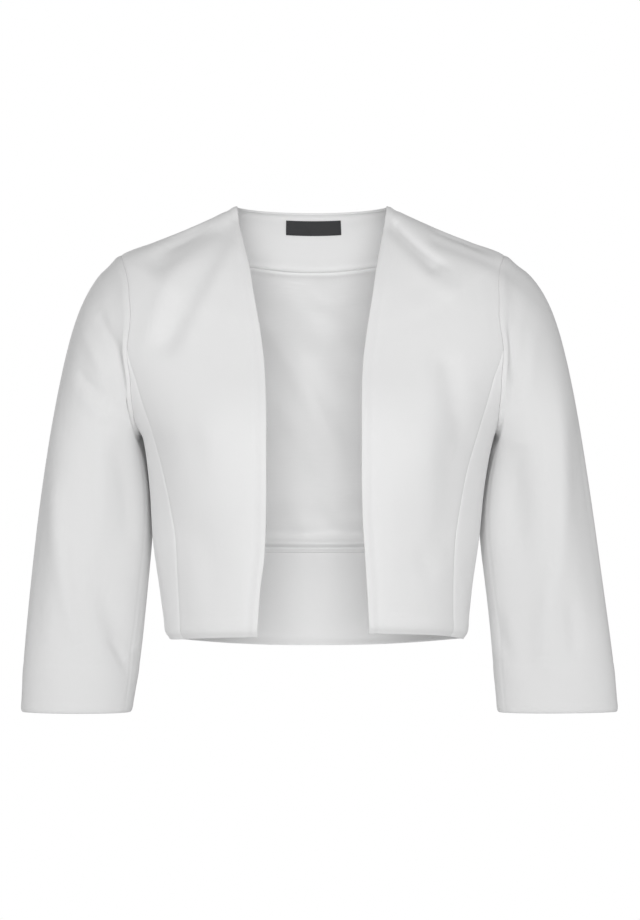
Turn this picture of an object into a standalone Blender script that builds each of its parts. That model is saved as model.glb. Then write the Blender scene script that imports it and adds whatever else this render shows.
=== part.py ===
"""A cropped open-front bolero jacket with three-quarter set-in sleeves, filled out as worn.

Metres, +Z up, the wearer faces -Y and their left is +X. The origin is midway between the
shoulders, at the height of the middle of the shoulder seams, where the wearer carries the jacket.

The body is one smooth surface, worked out from loops that run round the figure. A loop has an
angle (0 at centre front, 90 degrees at the wearer's left side, 180 at centre back) and a level
(0 at the hem, 1 at the neck). Every body panel is a patch of that surface between its seams, and
each sleeve is a tube from the armhole to the cuff.
"""

import bpy
import numpy as np

MM = 0.001
CLOTH = 2.0 * MM  # outer cloth with its fusing
INNER_CLOTH = 1.0 * MM  # facings and lining
LABEL_CLOTH = 1.0 * MM
SEAM_GAP = 0.3 * MM
LAYER_GAP = 0.35 * MM  # between a panel and what lies on its inside
SLEEVE_STRIP = 2.5 * MM  # the narrow faces where a sleeve leaves the armhole

# Loops round the body, in millimetres. right_x and left_x are how far the sides reach; the side
# is virtual where the armhole is cut out. Squareness 2 is an ellipse, and more is boxier.
BODY_COLUMNS = (
    "level", "right_x", "left_x", "side_z", "front_y", "front_z", "back_y", "back_z", "squareness",
)
BODY_LOOPS = (
    (0.000, 150.5, 156.0, -415.5, -100.0, -409.5, 88.0, -425.0, 2.30),
    (0.120, 157.3, 161.0, -364.0, -108.0, -361.5, 85.0, -371.5, 2.32),
    (0.240, 164.3, 168.3, -312.0, -117.0, -311.0, 87.0, -318.0, 2.35),
    (0.360, 167.3, 173.2, -262.0, -124.0, -262.0, 93.0, -265.0, 2.38),
    (0.480, 173.6, 182.4, -212.0, -126.0, -214.0, 100.0, -212.0, 2.36),
    (0.520, 185.5, 190.5, -191.0, -124.5, -199.0, 102.0, -197.0, 2.30),
    (0.600, 205.0, 209.5, -150.0, -118.5, -173.0, 104.0, -166.0, 2.20),
    (0.700, 223.5, 226.5, -97.0, -107.5, -144.0, 102.0, -126.0, 2.10),
    (0.770, 216.0, 217.0, -54.0, -99.0, -122.0, 97.0, -95.0, 2.05),
    (0.810, 202.0, 199.5, -30.0, -94.0, -109.0, 93.5, -76.0, 2.00),
    (0.820, 196.4, 193.8, -24.0, -93.0, -106.0, 92.5, -71.5, 2.00),
    (0.870, 163.6, 160.6, -10.8, -87.0, -90.5, 86.0, -45.0, 2.00),
    (0.910, 137.5, 134.0, -0.4, -82.0, -78.0, 79.0, -24.0, 2.00),
    (0.955, 107.5, 104.0, 12.6, -73.0, -66.0, 70.0, -0.2, 2.00),
    (0.980, 91.5, 87.5, 20.2, -62.0, -59.5, 64.0, 12.8, 2.00),
    (1.000, 78.5, 74.0, 26.5, -46.0, -55.0, 59.0, 23.3, 2.00),
)
UNDERARM_Z, SHOULDER_LEVEL = -205.0 * MM, 0.820

# The front opening's edge, as its distance from the centre.
EDGE_COLUMNS = ("level", "right_x", "left_x")
FRONT_EDGE = (
    (0.000, 56.6, 55.3),
    (0.120, 53.0, 52.7),
    (0.200, 48.8, 50.5),
    (0.300, 46.9, 47.8),
    (0.400, 46.2, 46.7),
    (0.500, 46.2, 46.6),
    (0.620, 47.0, 46.8),
    (0.720, 48.9, 48.4),
    (0.820, 53.6, 53.0),
    (0.910, 60.3, 59.0),
    (0.955, 64.2, 62.6),
    (0.980, 70.4, 67.0),
    (1.000, 78.5, 74.0),
)
# The shaped seam from the armhole to the hem, between the front and the side front.
PRINCESS_SEAM = (
    (0.000, 134.5, 141.0),
    (0.120, 136.5, 140.2),
    (0.220, 138.5, 141.4),
    (0.320, 142.8, 146.3),
    (0.420, 150.3, 152.8),
    (0.500, 161.0, 163.8),
    (0.560, 171.5, 172.8),
    (0.620, 180.0, 180.8),
)

# The armhole in side view: an egg, with its middle half way from the shoulder to the underarm.
ARMHOLE_FRONT, ARMHOLE_BACK, ARMHOLE_EGG = 62.0 * MM, 58.0 * MM, 0.12
PRINCESS_TURN = np.radians(94)  # where the princess seam starts on the armhole
PRINCESS_LENGTH, ARMHOLE_FRONT_LENGTH = 300.0 * MM, 125.0 * MM
# Turns of the armhole's points, which the body's panels and the sleeve share.
FRONT_TURNS = np.linspace(0, PRINCESS_TURN, 9)
SIDE_TURNS = np.linspace(PRINCESS_TURN, np.pi, 8)
BACK_TURNS = np.linspace(np.pi, 2 * np.pi, 16)
BACK_SPREAD = (0.40, 0.855)  # the back's middle, on the underarm's and the shoulder's rows
BESIDE_ARMHOLE = 0.70  # share of the princess seam that lies beside the side seam
# The side front ends just before the point where its two long seams meet.
TIP_TURN, TIP_SHARE = np.radians(3.2), 0.983

# Sleeve sections, in millimetres, from the armhole to the cuff. The outer point is the sleeve's
# outline seen from the front, the inner point faces the body, and x is away from the centre.
SLEEVE_COLUMNS = (
    "outer_x", "outer_z", "inner_x", "inner_z", "inner_y", "front_y", "back_y",
)
SLEEVE_SECTIONS = {
    "right": (
        (196.4, -24.0, 177.6, -205.0, 0.0, -62.0, 58.0),
        (207.1, -29.0, 179.4, -209.0, 1.0, -62.5, 61.0),
        (218.3, -42.5, 179.2, -213.5, 3.0, -61.5, 64.0),
        (230.5, -59.2, 178.2, -218.0, 7.0, -59.5, 66.0),
        (240.7, -81.6, 176.2, -223.0, 12.0, -57.0, 67.0),
        (249.9, -110.2, 173.2, -230.0, 19.0, -54.0, 68.0),
        (258.1, -151.0, 169.4, -242.0, 26.0, -51.0, 68.0),
        (266.2, -191.8, 166.4, -260.0, 30.0, -48.0, 67.0),
        (272.4, -232.6, 164.4, -283.0, 29.0, -46.0, 64.0),
        (278.5, -273.4, 164.6, -308.0, 25.0, -45.0, 60.0),
        (283.6, -314.2, 168.0, -335.0, 20.0, -45.0, 54.0),
        (288.7, -365.2, 171.4, -377.5, 13.0, -44.0, 46.0),
        (293.8, -416.2, 175.2, -422.5, 7.0, -43.0, 38.0),
        (296.8, -457.0, 180.6, -460.0, 2.0, -43.0, 32.0),
        (297.9, -488.5, 186.0, -489.5, -2.0, -42.0, 29.0),
    ),
    "left": (
        (193.8, -24.0, 184.8, -205.0, 0.0, -62.0, 58.0),
        (206.4, -30.5, 186.4, -209.0, 1.0, -62.5, 61.0),
        (220.2, -42.5, 186.0, -213.5, 3.0, -61.5, 64.0),
        (233.4, -58.7, 184.6, -218.0, 7.0, -59.5, 66.0),
        (244.4, -81.6, 182.2, -223.0, 12.0, -57.0, 67.0),
        (252.9, -110.2, 179.0, -230.0, 19.0, -54.0, 68.0),
        (261.6, -151.0, 175.0, -242.0, 26.0, -51.0, 68.0),
        (269.6, -191.8, 171.4, -260.0, 30.0, -48.0, 66.0),
        (275.4, -232.6, 169.0, -283.0, 29.0, -45.0, 62.0),
        (282.5, -273.4, 168.6, -308.0, 24.0, -43.0, 56.0),
        (287.6, -314.2, 171.8, -335.0, 18.0, -42.0, 49.0),
        (294.8, -365.2, 178.2, -377.5, 11.0, -40.0, 41.0),
        (301.9, -416.2, 181.6, -422.5, 6.0, -38.0, 33.0),
        (307.0, -457.0, 184.0, -460.0, 1.0, -37.0, 27.0),
        (309.3, -488.5, 187.0, -489.5, -3.0, -36.0, 24.0),
    ),
}
ARMHOLE_FADE = 0.45  # share of the sleeve over which its sections lose the armhole's shape
UNDERARM_PUFF = 3.5 * MM  # how far the sleeve stands off below its seam
SLEEVE_CLEARANCE = 2.0 * MM  # between the body and the sleeve under the arm
STEEPEST_LEAVE = np.radians(115)  # how far the sleeve folds back at its seam
SLEEVE_RINGS = (
    0.08, 0.14, 0.20, 0.26, 0.32, 0.38, 0.44, 0.50, 0.56, 0.62, 0.68, 0.74, 0.80, 0.86, 0.91,
    0.955,
)

# Folds of the body, in millimetres, as soft troughs (negative) or ridges along a line in front
# view. Each is a bell in cross-section, half_width wide.
FOLD_COLUMNS = ("start_x", "start_z", "end_x", "end_z", "height", "half_width")
FRONT_FOLDS = (
    (-82.0, 12.0, -146.0, -112.0, -4.0, 13.0),
    (-104.0, 4.0, -158.0, -30.0, -5.0, 15.0),
    (82.0, 4.0, 120.0, -36.0, -4.5, 9.0),
    (128.0, -8.0, 186.0, -32.0, -4.0, 11.0),
    (134.0, -140.0, 146.0, -208.0, -3.0, 12.0),
    (-92.0, -212.0, -94.0, -226.0, 8.0, 62.0),
    (92.0, -206.0, 94.0, -220.0, 8.0, 62.0),
)
BACK_FOLDS = (
    (-150.0, -150.0, -70.0, -250.0, -3.5, 15.0),
    (152.0, -146.0, 74.0, -240.0, -3.5, 16.0),
    (-36.0, -300.0, -30.0, -400.0, -3.0, 18.0),
    (44.0, -290.0, 40.0, -395.0, -2.5, 16.0),
    (-96.0, -20.0, -140.0, -90.0, -3.0, 15.0),
    (98.0, -18.0, 138.0, -84.0, -3.0, 15.0),
)
# Folds of a sleeve, along a line in front view; x is away from the centre.
SLEEVE_FOLDS = {
    "right": (
        (219.0, -92.0, 201.0, -150.0, -3.0, 10.0),
        (236.0, -150.0, 212.0, -176.0, -2.5, 9.0),
        (206.0, -318.0, 186.0, -424.0, -3.5, 14.0),
        (262.0, -250.0, 268.0, -400.0, 3.0, 20.0),
    ),
    "left": (
        (222.0, -96.0, 208.0, -152.0, -2.5, 10.0),
        (196.0, -230.0, 206.0, -330.0, -3.5, 16.0),
        (198.0, -392.0, 224.0, -440.0, -3.0, 12.0),
        (246.0, -250.0, 246.0, -400.0, 3.0, 18.0),
    ),
}

# Inside the back: a neck facing, the lining under it and a deep hem facing.
FACING_LEVEL, LINING_LEVEL = 0.885, 0.215
LINING_EASE, EASE_LEVEL, EASE_SPREAD = 3.0 * MM, 0.022, 0.030
LABEL_WIDTH, LABEL_LEVELS = 56.0 * MM, (0.951, 0.965, 0.979)

SIDES = {"right": -1.0, "left": 1.0}  # the wearer's


def through(stations, values, at):
    """A smooth curve through a table's values that never overshoots them (a monotone cubic)."""
    stations, values = np.asarray(stations, float), np.asarray(values, float)
    step = np.diff(stations)
    slope = np.diff(values) / step
    before, after = slope[:-1], slope[1:]
    near, far = step[:-1] + 2 * step[1:], 2 * step[:-1] + step[1:]
    rising = before * after > 0
    safe_before = np.where(rising, before, 1.0)
    safe_after = np.where(rising, after, 1.0)
    tangent = np.empty_like(values)
    tangent[0], tangent[-1] = slope[0], slope[-1]
    tangent[1:-1] = np.where(rising, (near + far) / (near / safe_before + far / safe_after), 0.0)
    at = np.clip(at, stations[0], stations[-1])
    i = np.clip(np.searchsorted(stations, at, side="right") - 1, 0, len(step) - 1)
    u = (at - stations[i]) / step[i]
    return (
        values[i] * (1 + 2 * u) * (1 - u) ** 2
        + tangent[i] * step[i] * u * (1 - u) ** 2
        + values[i + 1] * u**2 * (3 - 2 * u)
        + tangent[i + 1] * step[i] * u**2 * (u - 1)
    )


def body(column, level):
    """One column of the body's loops at a level, in metres (squareness is a plain number)."""
    table = np.array(BODY_LOOPS)
    scale = 1.0 if column == "squareness" else MM
    return through(table[:, 0], table[:, BODY_COLUMNS.index(column)], level) * scale


def along_seam(table, side, level):
    """A seam's distance from the centre at a level, in metres."""
    table = np.array(table)
    return through(table[:, 0], table[:, EDGE_COLUMNS.index(side + "_x")], level) * MM


def loop_point(angle, level):
    """A point of the body's smooth form: a superellipse loop whose sides are lifted to side_z."""
    sine, cosine = np.sin(angle), np.cos(angle)
    n = body("squareness", level)
    reach = (np.abs(sine) ** n + np.abs(cosine) ** n) ** (-1 / n)
    across, forward = sine * reach, cosine * reach
    half_width = np.where(sine >= 0, body("left_x", level), body("right_x", level))
    in_front = forward >= 0
    depth = np.where(in_front, body("front_y", level), -body("back_y", level))
    middle_z = np.where(in_front, body("front_z", level), body("back_z", level))
    side_z = body("side_z", level)
    return np.stack(
        [half_width * across, depth * forward, side_z + (middle_z - side_z) * forward**2], axis=-1
    )


def rise(share):
    """A smooth step from 0 to 1."""
    share = np.clip(share, 0, 1)
    return share * share * (3 - 2 * share)


def folds_at(x, z, folds):
    """The height of a table of folds at a place in front view, in metres."""
    height = np.zeros(np.broadcast(x, z).shape)
    for start_x, start_z, end_x, end_z, rise, half_width in np.array(folds) * MM:
        run = np.array([end_x - start_x, end_z - start_z])
        share = ((x - start_x) * run[0] + (z - start_z) * run[1]) / (run @ run)
        share = np.clip(share, 0, 1)
        off = np.hypot(x - start_x - share * run[0], z - start_z - share * run[1])
        height = height + rise * np.exp(-((off / half_width) ** 2))
    return height


def unit(vectors):
    return vectors / np.linalg.norm(vectors, axis=-1, keepdims=True)


def body_normal(angle, level):
    """The outward direction of the body's smooth form."""
    turn, lift = 1e-3, 1e-4
    low, high = np.clip(level - lift, 0, 1), np.clip(level + lift, 0, 1)
    round_it = loop_point(angle + turn, level) - loop_point(angle - turn, level)
    up = loop_point(angle, high) - loop_point(angle, low)
    return unit(np.cross(round_it, up))


def body_surface(angle, level, inward=0.0):
    """A point of the cloth's outer face, with its folds, or the same moved towards the wearer."""
    smooth = loop_point(angle, level)
    x, z = smooth[..., 0], smooth[..., 2]
    forward = np.cos(angle)
    front_share = rise(forward / 0.4)
    back_share = rise(-forward / 0.4)
    relief = front_share * folds_at(x, z, FRONT_FOLDS) + back_share * folds_at(x, z, BACK_FOLDS)
    return smooth + (relief - inward)[..., None] * body_normal(angle, level)


def seam_angle(table, side, level):
    """The angle at which a seam crosses a level, from the centre front, without its sign."""
    share = along_seam(table, side, level) / body(side + "_x", level)
    n = body("squareness", level)
    share = np.clip(share, 0, 1)
    return np.arctan2(share, (1 - share**n) ** (1 / n))


def place_of(y, z, side):
    """The (angle, level) of the body's surface at a place in side view; the level by halving."""
    low, high = np.zeros(np.shape(y)), np.ones(np.shape(y))
    for _ in range(40):
        level = (low + high) / 2
        depth = np.where(y <= 0, body("front_y", level), body("back_y", level))
        middle_z = np.where(y <= 0, body("front_z", level), body("back_z", level))
        side_z = body("side_z", level)
        below = side_z + (middle_z - side_z) * np.minimum((y / depth) ** 2, 1) < z
        low, high = np.where(below, level, low), np.where(below, high, level)
    forward = np.clip(np.abs(y / depth), 0, 1)
    n = body("squareness", level)
    across = (1 - forward**n) ** (1 / n)
    return np.arctan2(across, np.where(y <= 0, forward, -forward)), level


def armhole(turn, side):
    """The armhole as (angle, level). turn is 0 at the shoulder, a quarter at the front and a
    half at the underarm. In side view it is an egg."""
    turn = np.asarray(turn, float)
    top = body("side_z", SHOULDER_LEVEL)
    half_width = np.where(np.sin(turn) >= 0, ARMHOLE_FRONT, ARMHOLE_BACK)
    y = -half_width * np.sin(turn) * (1 - ARMHOLE_EGG * np.cos(turn))
    z = (top + UNDERARM_Z) / 2 + (top - UNDERARM_Z) / 2 * np.cos(turn)
    angle, level = place_of(y, z, side)
    at_seam = np.abs(np.sin(turn)) < 1e-9
    return np.where(at_seam, np.pi / 2, angle), level


def princess(side, share):
    """The princess seam as (angle, level), at shares of its way from the hem to the armhole."""
    end_angle, end_level = (part[0] for part in armhole(np.array([PRINCESS_TURN]), side))
    last = PRINCESS_SEAM[-1][0]
    level = share * end_level
    ease = np.clip((level - last) / (end_level - last), 0, 1)
    below = seam_angle(PRINCESS_SEAM, side, np.minimum(level, last))
    return below + (end_angle - below) * ease, level


def by_length(curve, side, share):
    """The points of a seam, a function of a fraction, at shares of its length."""
    dense = (1 - np.cos(np.linspace(0, np.pi, 401))) / 2
    points = loop_point(*curve(dense)) * [SIDES[side], 1, 1]
    run = np.concatenate([[0], np.cumsum(np.linalg.norm(np.diff(points, axis=0), axis=1))])
    return np.array(curve(np.interp(share, run / run[-1], dense)))


def blend_patch(bottom, top, first, last, across, up):
    """(angle, level) on a grid inside four seams, blended from them (a Coons patch)."""
    s, t = np.meshgrid(across, up)
    ruled = (1 - t) * bottom[:, None, :] + t * top[:, None, :]
    crossed = (1 - s) * first[:, :, None] + s * last[:, :, None]
    corners = [part[:, None, None] for part in (first[:, 0], last[:, 0], first[:, -1], last[:, -1])]
    weights = ((1 - s) * (1 - t), s * (1 - t), (1 - s) * t, s * t)
    return ruled + crossed - sum(weight * corner for weight, corner in zip(weights, corners))


def slide(angle, level, direction):
    """Move points along the body by a short direction in space."""
    turn, lift = 1e-4, 1e-5
    level = np.clip(level, lift, 1 - lift)
    round_it = (loop_point(angle + turn, level) - loop_point(angle - turn, level)) / (2 * turn)
    up = (loop_point(angle, level + lift) - loop_point(angle, level - lift)) / (2 * lift)
    rr, ru, uu = (round_it**2).sum(-1), (round_it * up).sum(-1), (up**2).sum(-1)
    r, u = (round_it * direction).sum(-1), (up * direction).sum(-1)
    scale = rr * uu - ru**2
    return angle + (r * uu - u * ru) / scale, level + (u * rr - r * ru) / scale


def leave_gap(grid):
    """Draw a grid's outline in by half a seam gap, squarely to its edges."""
    angle, level = grid
    rows, columns = angle.shape
    row, column = outline_of(rows, columns)
    outline = loop_point(angle[row, column], level[row, column])
    ahead = np.roll(outline, -1, axis=0) - outline
    square = unit(np.cross(body_normal(angle[row, column], level[row, column]), ahead))
    before = np.roll(square, 1, axis=0)
    inwards = (square + before) / (1 + (square * before).sum(-1, keepdims=True))
    inwards = inwards / np.maximum(np.linalg.norm(inwards, axis=-1, keepdims=True) / 2, 1)
    middle = loop_point(angle[rows // 2, columns // 2], level[rows // 2, columns // 2])
    inwards = inwards * np.sign(((middle - outline) * inwards).sum())
    found = np.array([angle, level])
    found[:, row, column] = slide(angle[row, column], level[row, column], inwards * SEAM_GAP / 2)
    return found


def outline_of(rows, columns):
    """The rows and columns of a grid's outline, in order."""
    row = np.concatenate([
        np.zeros(columns - 1), np.arange(rows - 1),
        np.full(columns - 1, rows - 1), np.arange(rows - 1, 0, -1),
    ])
    column = np.concatenate([
        np.arange(columns - 1), np.full(rows - 1, columns - 1),
        np.arange(columns - 1, 0, -1), np.zeros(rows - 1),
    ])
    return row.astype(int), column.astype(int)


def material(name, colour, roughness):
    made = bpy.data.materials.new(name)
    made.use_nodes = True
    shader = made.node_tree.nodes["Principled BSDF"]
    shader.inputs["Base Color"].default_value = (*colour, 1.0)
    shader.inputs["Roughness"].default_value = roughness
    return made


def grid_faces(rows, columns):
    index = np.arange(rows * columns).reshape(rows, columns)
    quads = np.stack([index[:-1, :-1], index[:-1, 1:], index[1:, 1:], index[1:, :-1]], axis=-1)
    quads = quads.reshape(-1, 4)
    return np.concatenate([quads[:, [0, 1, 2]], quads[:, [0, 2, 3]]])


def add_piece(name, points, faces, finish):
    mesh = bpy.data.meshes.new(name)
    mesh.from_pydata(points.reshape(-1, 3).tolist(), [], faces.tolist())
    mesh.materials.append(finish)
    mesh.shade_smooth()
    piece = bpy.data.objects.new(name, mesh)
    JACKET.objects.link(piece)
    return piece


def cloth(name, grid, depth, wall, finish, side="left"):
    """A flat piece of the body: its outer face lies depth inside the body's surface, and its
    inner face a wall further. Both follow the body's own outward direction, so that the edges
    of two pieces stay parallel at their seam."""
    angle, level = grid
    rows, columns = angle.shape
    outer = body_surface(SIDES[side] * angle, level, depth)
    inner = body_surface(SIDES[side] * angle, level, depth + wall)
    face = grid_faces(rows, columns)
    row, column = outline_of(rows, columns)
    start = row * columns + column
    end = np.roll(start, -1)
    count = rows * columns
    rim = np.stack([end, start, start + count, end, start + count, end + count], axis=-1)
    faces = np.concatenate([face, face[:, ::-1] + count, rim.reshape(-1, 3)])
    if side == "right":
        faces = faces[:, ::-1]
    piece = add_piece(name, np.array([outer, inner]), faces, finish)
    piece.data.set_sharp_from_angle(angle=np.radians(50))
    return piece


def side_levels():
    """The levels of the side seam's points, below the underarm."""
    underarm = armhole(np.array([np.pi]), "left")[1][0]
    below = np.linspace(0, LINING_LEVEL, 7)[:-1]
    return np.concatenate([below, np.linspace(LINING_LEVEL, underarm, 8)[:-1]]), underarm


def princess_rows():
    """Shares of the princess seam's length, for the rows that the front and the side front
    share: one for each point of the side seam, then of the side front's armhole."""
    levels, underarm = side_levels()
    above = np.linspace(BESIDE_ARMHOLE, 1, len(SIDE_TURNS))
    return np.concatenate([levels / underarm * BESIDE_ARMHOLE, above])


def front(side, finish):
    """The centre front: from the opening's edge to the princess seam and the armhole."""
    split = PRINCESS_LENGTH / (PRINCESS_LENGTH + ARMHOLE_FRONT_LENGTH)
    turns = FRONT_TURNS[::-1]
    upper = 1 - turns[1:] / PRINCESS_TURN
    up = np.concatenate([princess_rows() * split, split + (1 - split) * upper])
    across = np.linspace(0, 1, 13)
    lower = by_length(lambda share: princess(side, share), side, princess_rows())
    last = np.concatenate([lower, armhole(turns[1:], side)], axis=1)
    first = by_length(lambda level: (seam_angle(FRONT_EDGE, side, level), level), side, up)
    hem = np.array([first[0, 0] + (last[0, 0] - first[0, 0]) * across, 0 * across])
    shoulder = by_length(
        lambda share: (np.full_like(share, np.pi / 2), 1 + (SHOULDER_LEVEL - 1) * share), side, across
    )
    grid = leave_gap(blend_patch(hem, shoulder, first, last, across, up))
    cloth(f"front_{side}", grid, 0.0, CLOTH, finish, side)


def side_front(side, finish):
    """The side front. Its rows go from the princess seam to the side seam and then to the
    armhole, and end just before the point where the two seams meet."""
    rows = princess_rows()
    rows[-1] = TIP_SHARE
    inner = by_length(lambda share: princess(side, share), side, rows)
    turns = SIDE_TURNS[::-1].copy()
    turns[-1] += TIP_TURN
    levels = side_levels()[0]
    seam = np.array([np.full_like(levels, np.pi / 2), levels])
    outer = np.concatenate([seam, armhole(turns, side)], axis=1)
    across = np.linspace(0, 1, 8)
    grid = leave_gap(inner[:, :, None] + (outer - inner)[:, :, None] * across)
    inner, outer = grid[:, :, :1], grid[:, :, -1:]
    cloth(f"side_front_{side}", inner + (outer - inner) * across, 0.0, CLOTH, finish, side)


def back_edge(side, level):
    """The back's outer edge at a level: side seam, then armhole, then shoulder seam."""
    angles, levels = armhole(BACK_TURNS, side)
    return np.interp(level, levels, angles, left=np.pi / 2, right=np.pi / 2)


def back_grid():
    """The back's (angle, level). A row starts and ends on a point that the back shares with the
    side front, the sleeve or the shoulder seam, and is evenly spaced from its neighbours inside.
    The rows at the hem, the lining's two edges and the neck keep their level all along."""
    hole = armhole(BACK_TURNS, "left")[1]
    above = [*np.linspace(SHOULDER_LEVEL, FACING_LEVEL, 4)[1:], *np.linspace(FACING_LEVEL, 1, 7)[1:]]
    edge = np.array([*side_levels()[0], *hole, *above])
    marks = (LINING_LEVEL, hole[0], hole[-1], FACING_LEVEL)
    marks = [np.argmin(np.abs(edge - mark)) for mark in marks]
    rows = np.arange(marks[0], marks[-1] + 1)
    inside = edge.copy()
    inside[rows] = np.interp(rows, marks, (LINING_LEVEL, *BACK_SPREAD, FACING_LEVEL))
    across = np.linspace(0, 1, 23)
    pull = np.abs(2 * across - 1) ** 4
    level = inside[:, None] + (edge - inside)[:, None] * pull
    left = back_edge("left", edge)[:, None]
    right = 2 * np.pi - back_edge("right", edge)[:, None]
    return leave_gap(np.array([left + (right - left) * across, level]))


def back_layer(name, low, high, finish, ease=0.0):
    """A layer on the inside of the back, on the back's own points, from one level to another.
    ease is how far it stands off just above its lower edge."""
    grid = back_grid()
    middle = grid[1][:, grid.shape[2] // 2]
    grid = grid[:, (middle > low - 1e-3) & (middle < high + 1e-3)]
    half_gap = SEAM_GAP / 2 / (450 * MM)
    if low > 0:
        grid[1, 0] += half_gap
    if high < 1:
        grid[1, -1] -= half_gap
    stand_off = ease * np.exp(-(((grid[1] - low - EASE_LEVEL) / EASE_SPREAD) ** 2))
    cloth(name, grid, CLOTH + LAYER_GAP + stand_off, INNER_CLOTH, finish)


def label(finish):
    """A woven label on the neck facing, under the middle of the neckline."""
    x, level = np.meshgrid(np.linspace(-0.5, 0.5, 9) * LABEL_WIDTH, LABEL_LEVELS)
    n = body("squareness", level)
    share = -x / body("right_x", level)
    angle = np.pi - np.arctan2(share, (1 - np.abs(share) ** n) ** (1 / n))
    depth = CLOTH + LAYER_GAP + INNER_CLOTH + LAYER_GAP
    cloth("label", np.array([angle, level]), depth, LABEL_CLOTH, finish)


def sleeve_column(side, column, along):
    table = np.array(SLEEVE_SECTIONS[side])
    rows = np.linspace(0, 1, len(table))
    return through(rows, table[:, SLEEVE_COLUMNS.index(column)], along) * MM


def sleeve_section(side, along, turn):
    """A point of a sleeve's plain tube: an ellipse from the outer point to the inner one."""
    sign = SIDES[side]
    outer_x, outer_z, inner_x, inner_z, inner_y, front_y, back_y = (
        sleeve_column(side, column, along) for column in SLEEVE_COLUMNS
    )
    middle_y = (front_y + back_y) / 2
    half_depth = (back_y - front_y) / 2
    outer_y = 2 * middle_y - inner_y
    lean = np.cos(turn)
    x = (outer_x + inner_x) / 2 + (outer_x - inner_x) / 2 * lean
    y = (outer_y + inner_y) / 2 + (outer_y - inner_y) / 2 * lean - half_depth * np.sin(turn)
    z = (outer_z + inner_z) / 2 + (outer_z - inner_z) / 2 * lean
    return np.stack([sign * x, y, z], axis=-1)


def seam_frame(side, turn):
    """On the armhole: its points, the body's outward direction, and the way into the hole."""
    sign = SIDES[side]
    angle, level = armhole(turn, side)
    point = body_surface(sign * angle, level)
    outward = body_normal(sign * angle, level)
    run = unit(np.roll(point, -1, axis=0) - np.roll(point, 1, axis=0))
    inwards = unit(np.cross(outward, run))
    facing = np.sign(((point.mean(axis=0) - point) * inwards).sum(axis=-1, keepdims=True))
    return point, outward, inwards * facing, run


def clear_of_body(rings, clearance, side):
    """Move a sleeve's points out where they would come too near to the body beside the armhole
    or below it."""
    y, z = rings[..., 1], rings[..., 2]
    top = body("side_z", SHOULDER_LEVEL)
    height = (z - (top + UNDERARM_Z) / 2) / ((top - UNDERARM_Z) / 2)
    half_width = np.where(y <= 0, ARMHOLE_FRONT, ARMHOLE_BACK) * (1 - ARMHOLE_EGG * height)
    in_hole = np.abs(y) < half_width * np.sqrt(np.clip(1 - height**2, 0, 1))
    angle, level = place_of(y, z, side)
    limit = np.abs(loop_point(SIDES[side] * angle, level)[..., 0]) + clearance
    reach = np.abs(rings[..., 0])
    beside = ~in_hole & (z > -420 * MM)
    moved = np.where(beside, np.maximum(reach, limit), reach)
    return np.concatenate([SIDES[side] * moved[..., None], rings[..., 1:]], axis=-1)


def sleeve(side, finish):
    """A set-in sleeve. Its first two rings leave the seam beside the body's cloth, so that the
    walls don't meet, and the rest goes smoothly to the plain sections."""
    turn = np.concatenate([FRONT_TURNS[:-1], SIDE_TURNS[:-1], BACK_TURNS[:-1]])
    point, outward, inwards, run = seam_frame(side, turn)
    shift = point - sleeve_section(side, np.zeros_like(turn), turn)
    fade_end = ARMHOLE_FADE * (0.55 + 0.45 * np.cos(turn))

    lower = (1 - np.cos(turn)) / 2

    def ring(along):
        fade = np.clip(1 - along / fade_end, 0, 1) ** 2
        puff = UNDERARM_PUFF * lower * np.exp(-(((along - 0.07) / 0.08) ** 2))
        place = sleeve_section(side, np.full_like(turn, along), turn)
        return place + fade[:, None] * shift + puff[:, None] * outward

    steps = np.array([*SLEEVE_RINGS, 1 - SLEEVE_STRIP / (460 * MM), 1.0])
    tube = np.array([ring(along) for along in steps])
    settled = np.clip((steps - 0.03) / 0.10, 0, 1)[:, None]
    tube = clear_of_body(tube, SLEEVE_CLEARANCE * (0.4 + 0.6 * settled), side)
    leaving = tube[0] - point
    leaving = leaving - (leaving * run).sum(axis=-1, keepdims=True) * run
    tilt = np.arctan2((leaving * outward).sum(axis=-1), (leaving * inwards).sum(axis=-1))
    tilt = np.clip(tilt, 0, STEEPEST_LEAVE)[:, None]
    seam = point + SEAM_GAP / 2 * (inwards + np.sin(tilt / 2) * outward)
    strip = seam + SLEEVE_STRIP * (np.cos(tilt) * inwards + np.sin(tilt) * outward)
    rings = np.concatenate([seam[None], strip[None], tube])
    front_share = np.clip(np.sin(turn) * 3, 0, 1)
    relief = front_share * folds_at(np.abs(rings[..., 0]), rings[..., 2], SLEEVE_FOLDS[side])
    relief = relief * np.concatenate([[[0], [0]], settled])
    ahead = np.roll(rings, -1, axis=1) - np.roll(rings, 1, axis=1)
    outside = unit(np.cross(ahead, np.gradient(rings, axis=0))) * SIDES[side]
    rings = rings + relief[..., None] * outside
    for _ in range(2):
        rings[2:-2] = (rings[1:-3] + 2 * rings[2:-2] + rings[3:-1]) / 4
    closed = np.concatenate([rings, rings[:, :1]], axis=1)
    rows, columns = closed.shape[:2]
    faces = grid_faces(rows, columns)
    faces = faces // columns * (columns - 1) + faces % columns % (columns - 1)
    if side == "right":
        faces = faces[:, ::-1]
    piece = add_piece(f"sleeve_{side}", rings, faces, finish)
    wall = piece.modifiers.new("wall", "SOLIDIFY")
    wall.thickness = CLOTH
    wall.offset = -1.0


for old in list(bpy.data.objects):
    bpy.data.objects.remove(old, do_unlink=True)

JACKET = bpy.data.collections.new("bolero_jacket")
bpy.context.scene.collection.children.link(JACKET)

shell = material("crepe", (0.76, 0.76, 0.76), 0.75)
satin = material("lining_satin", (0.70, 0.70, 0.71), 0.40)
woven_label = material("label_weave", (0.07, 0.07, 0.075), 0.60)

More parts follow.
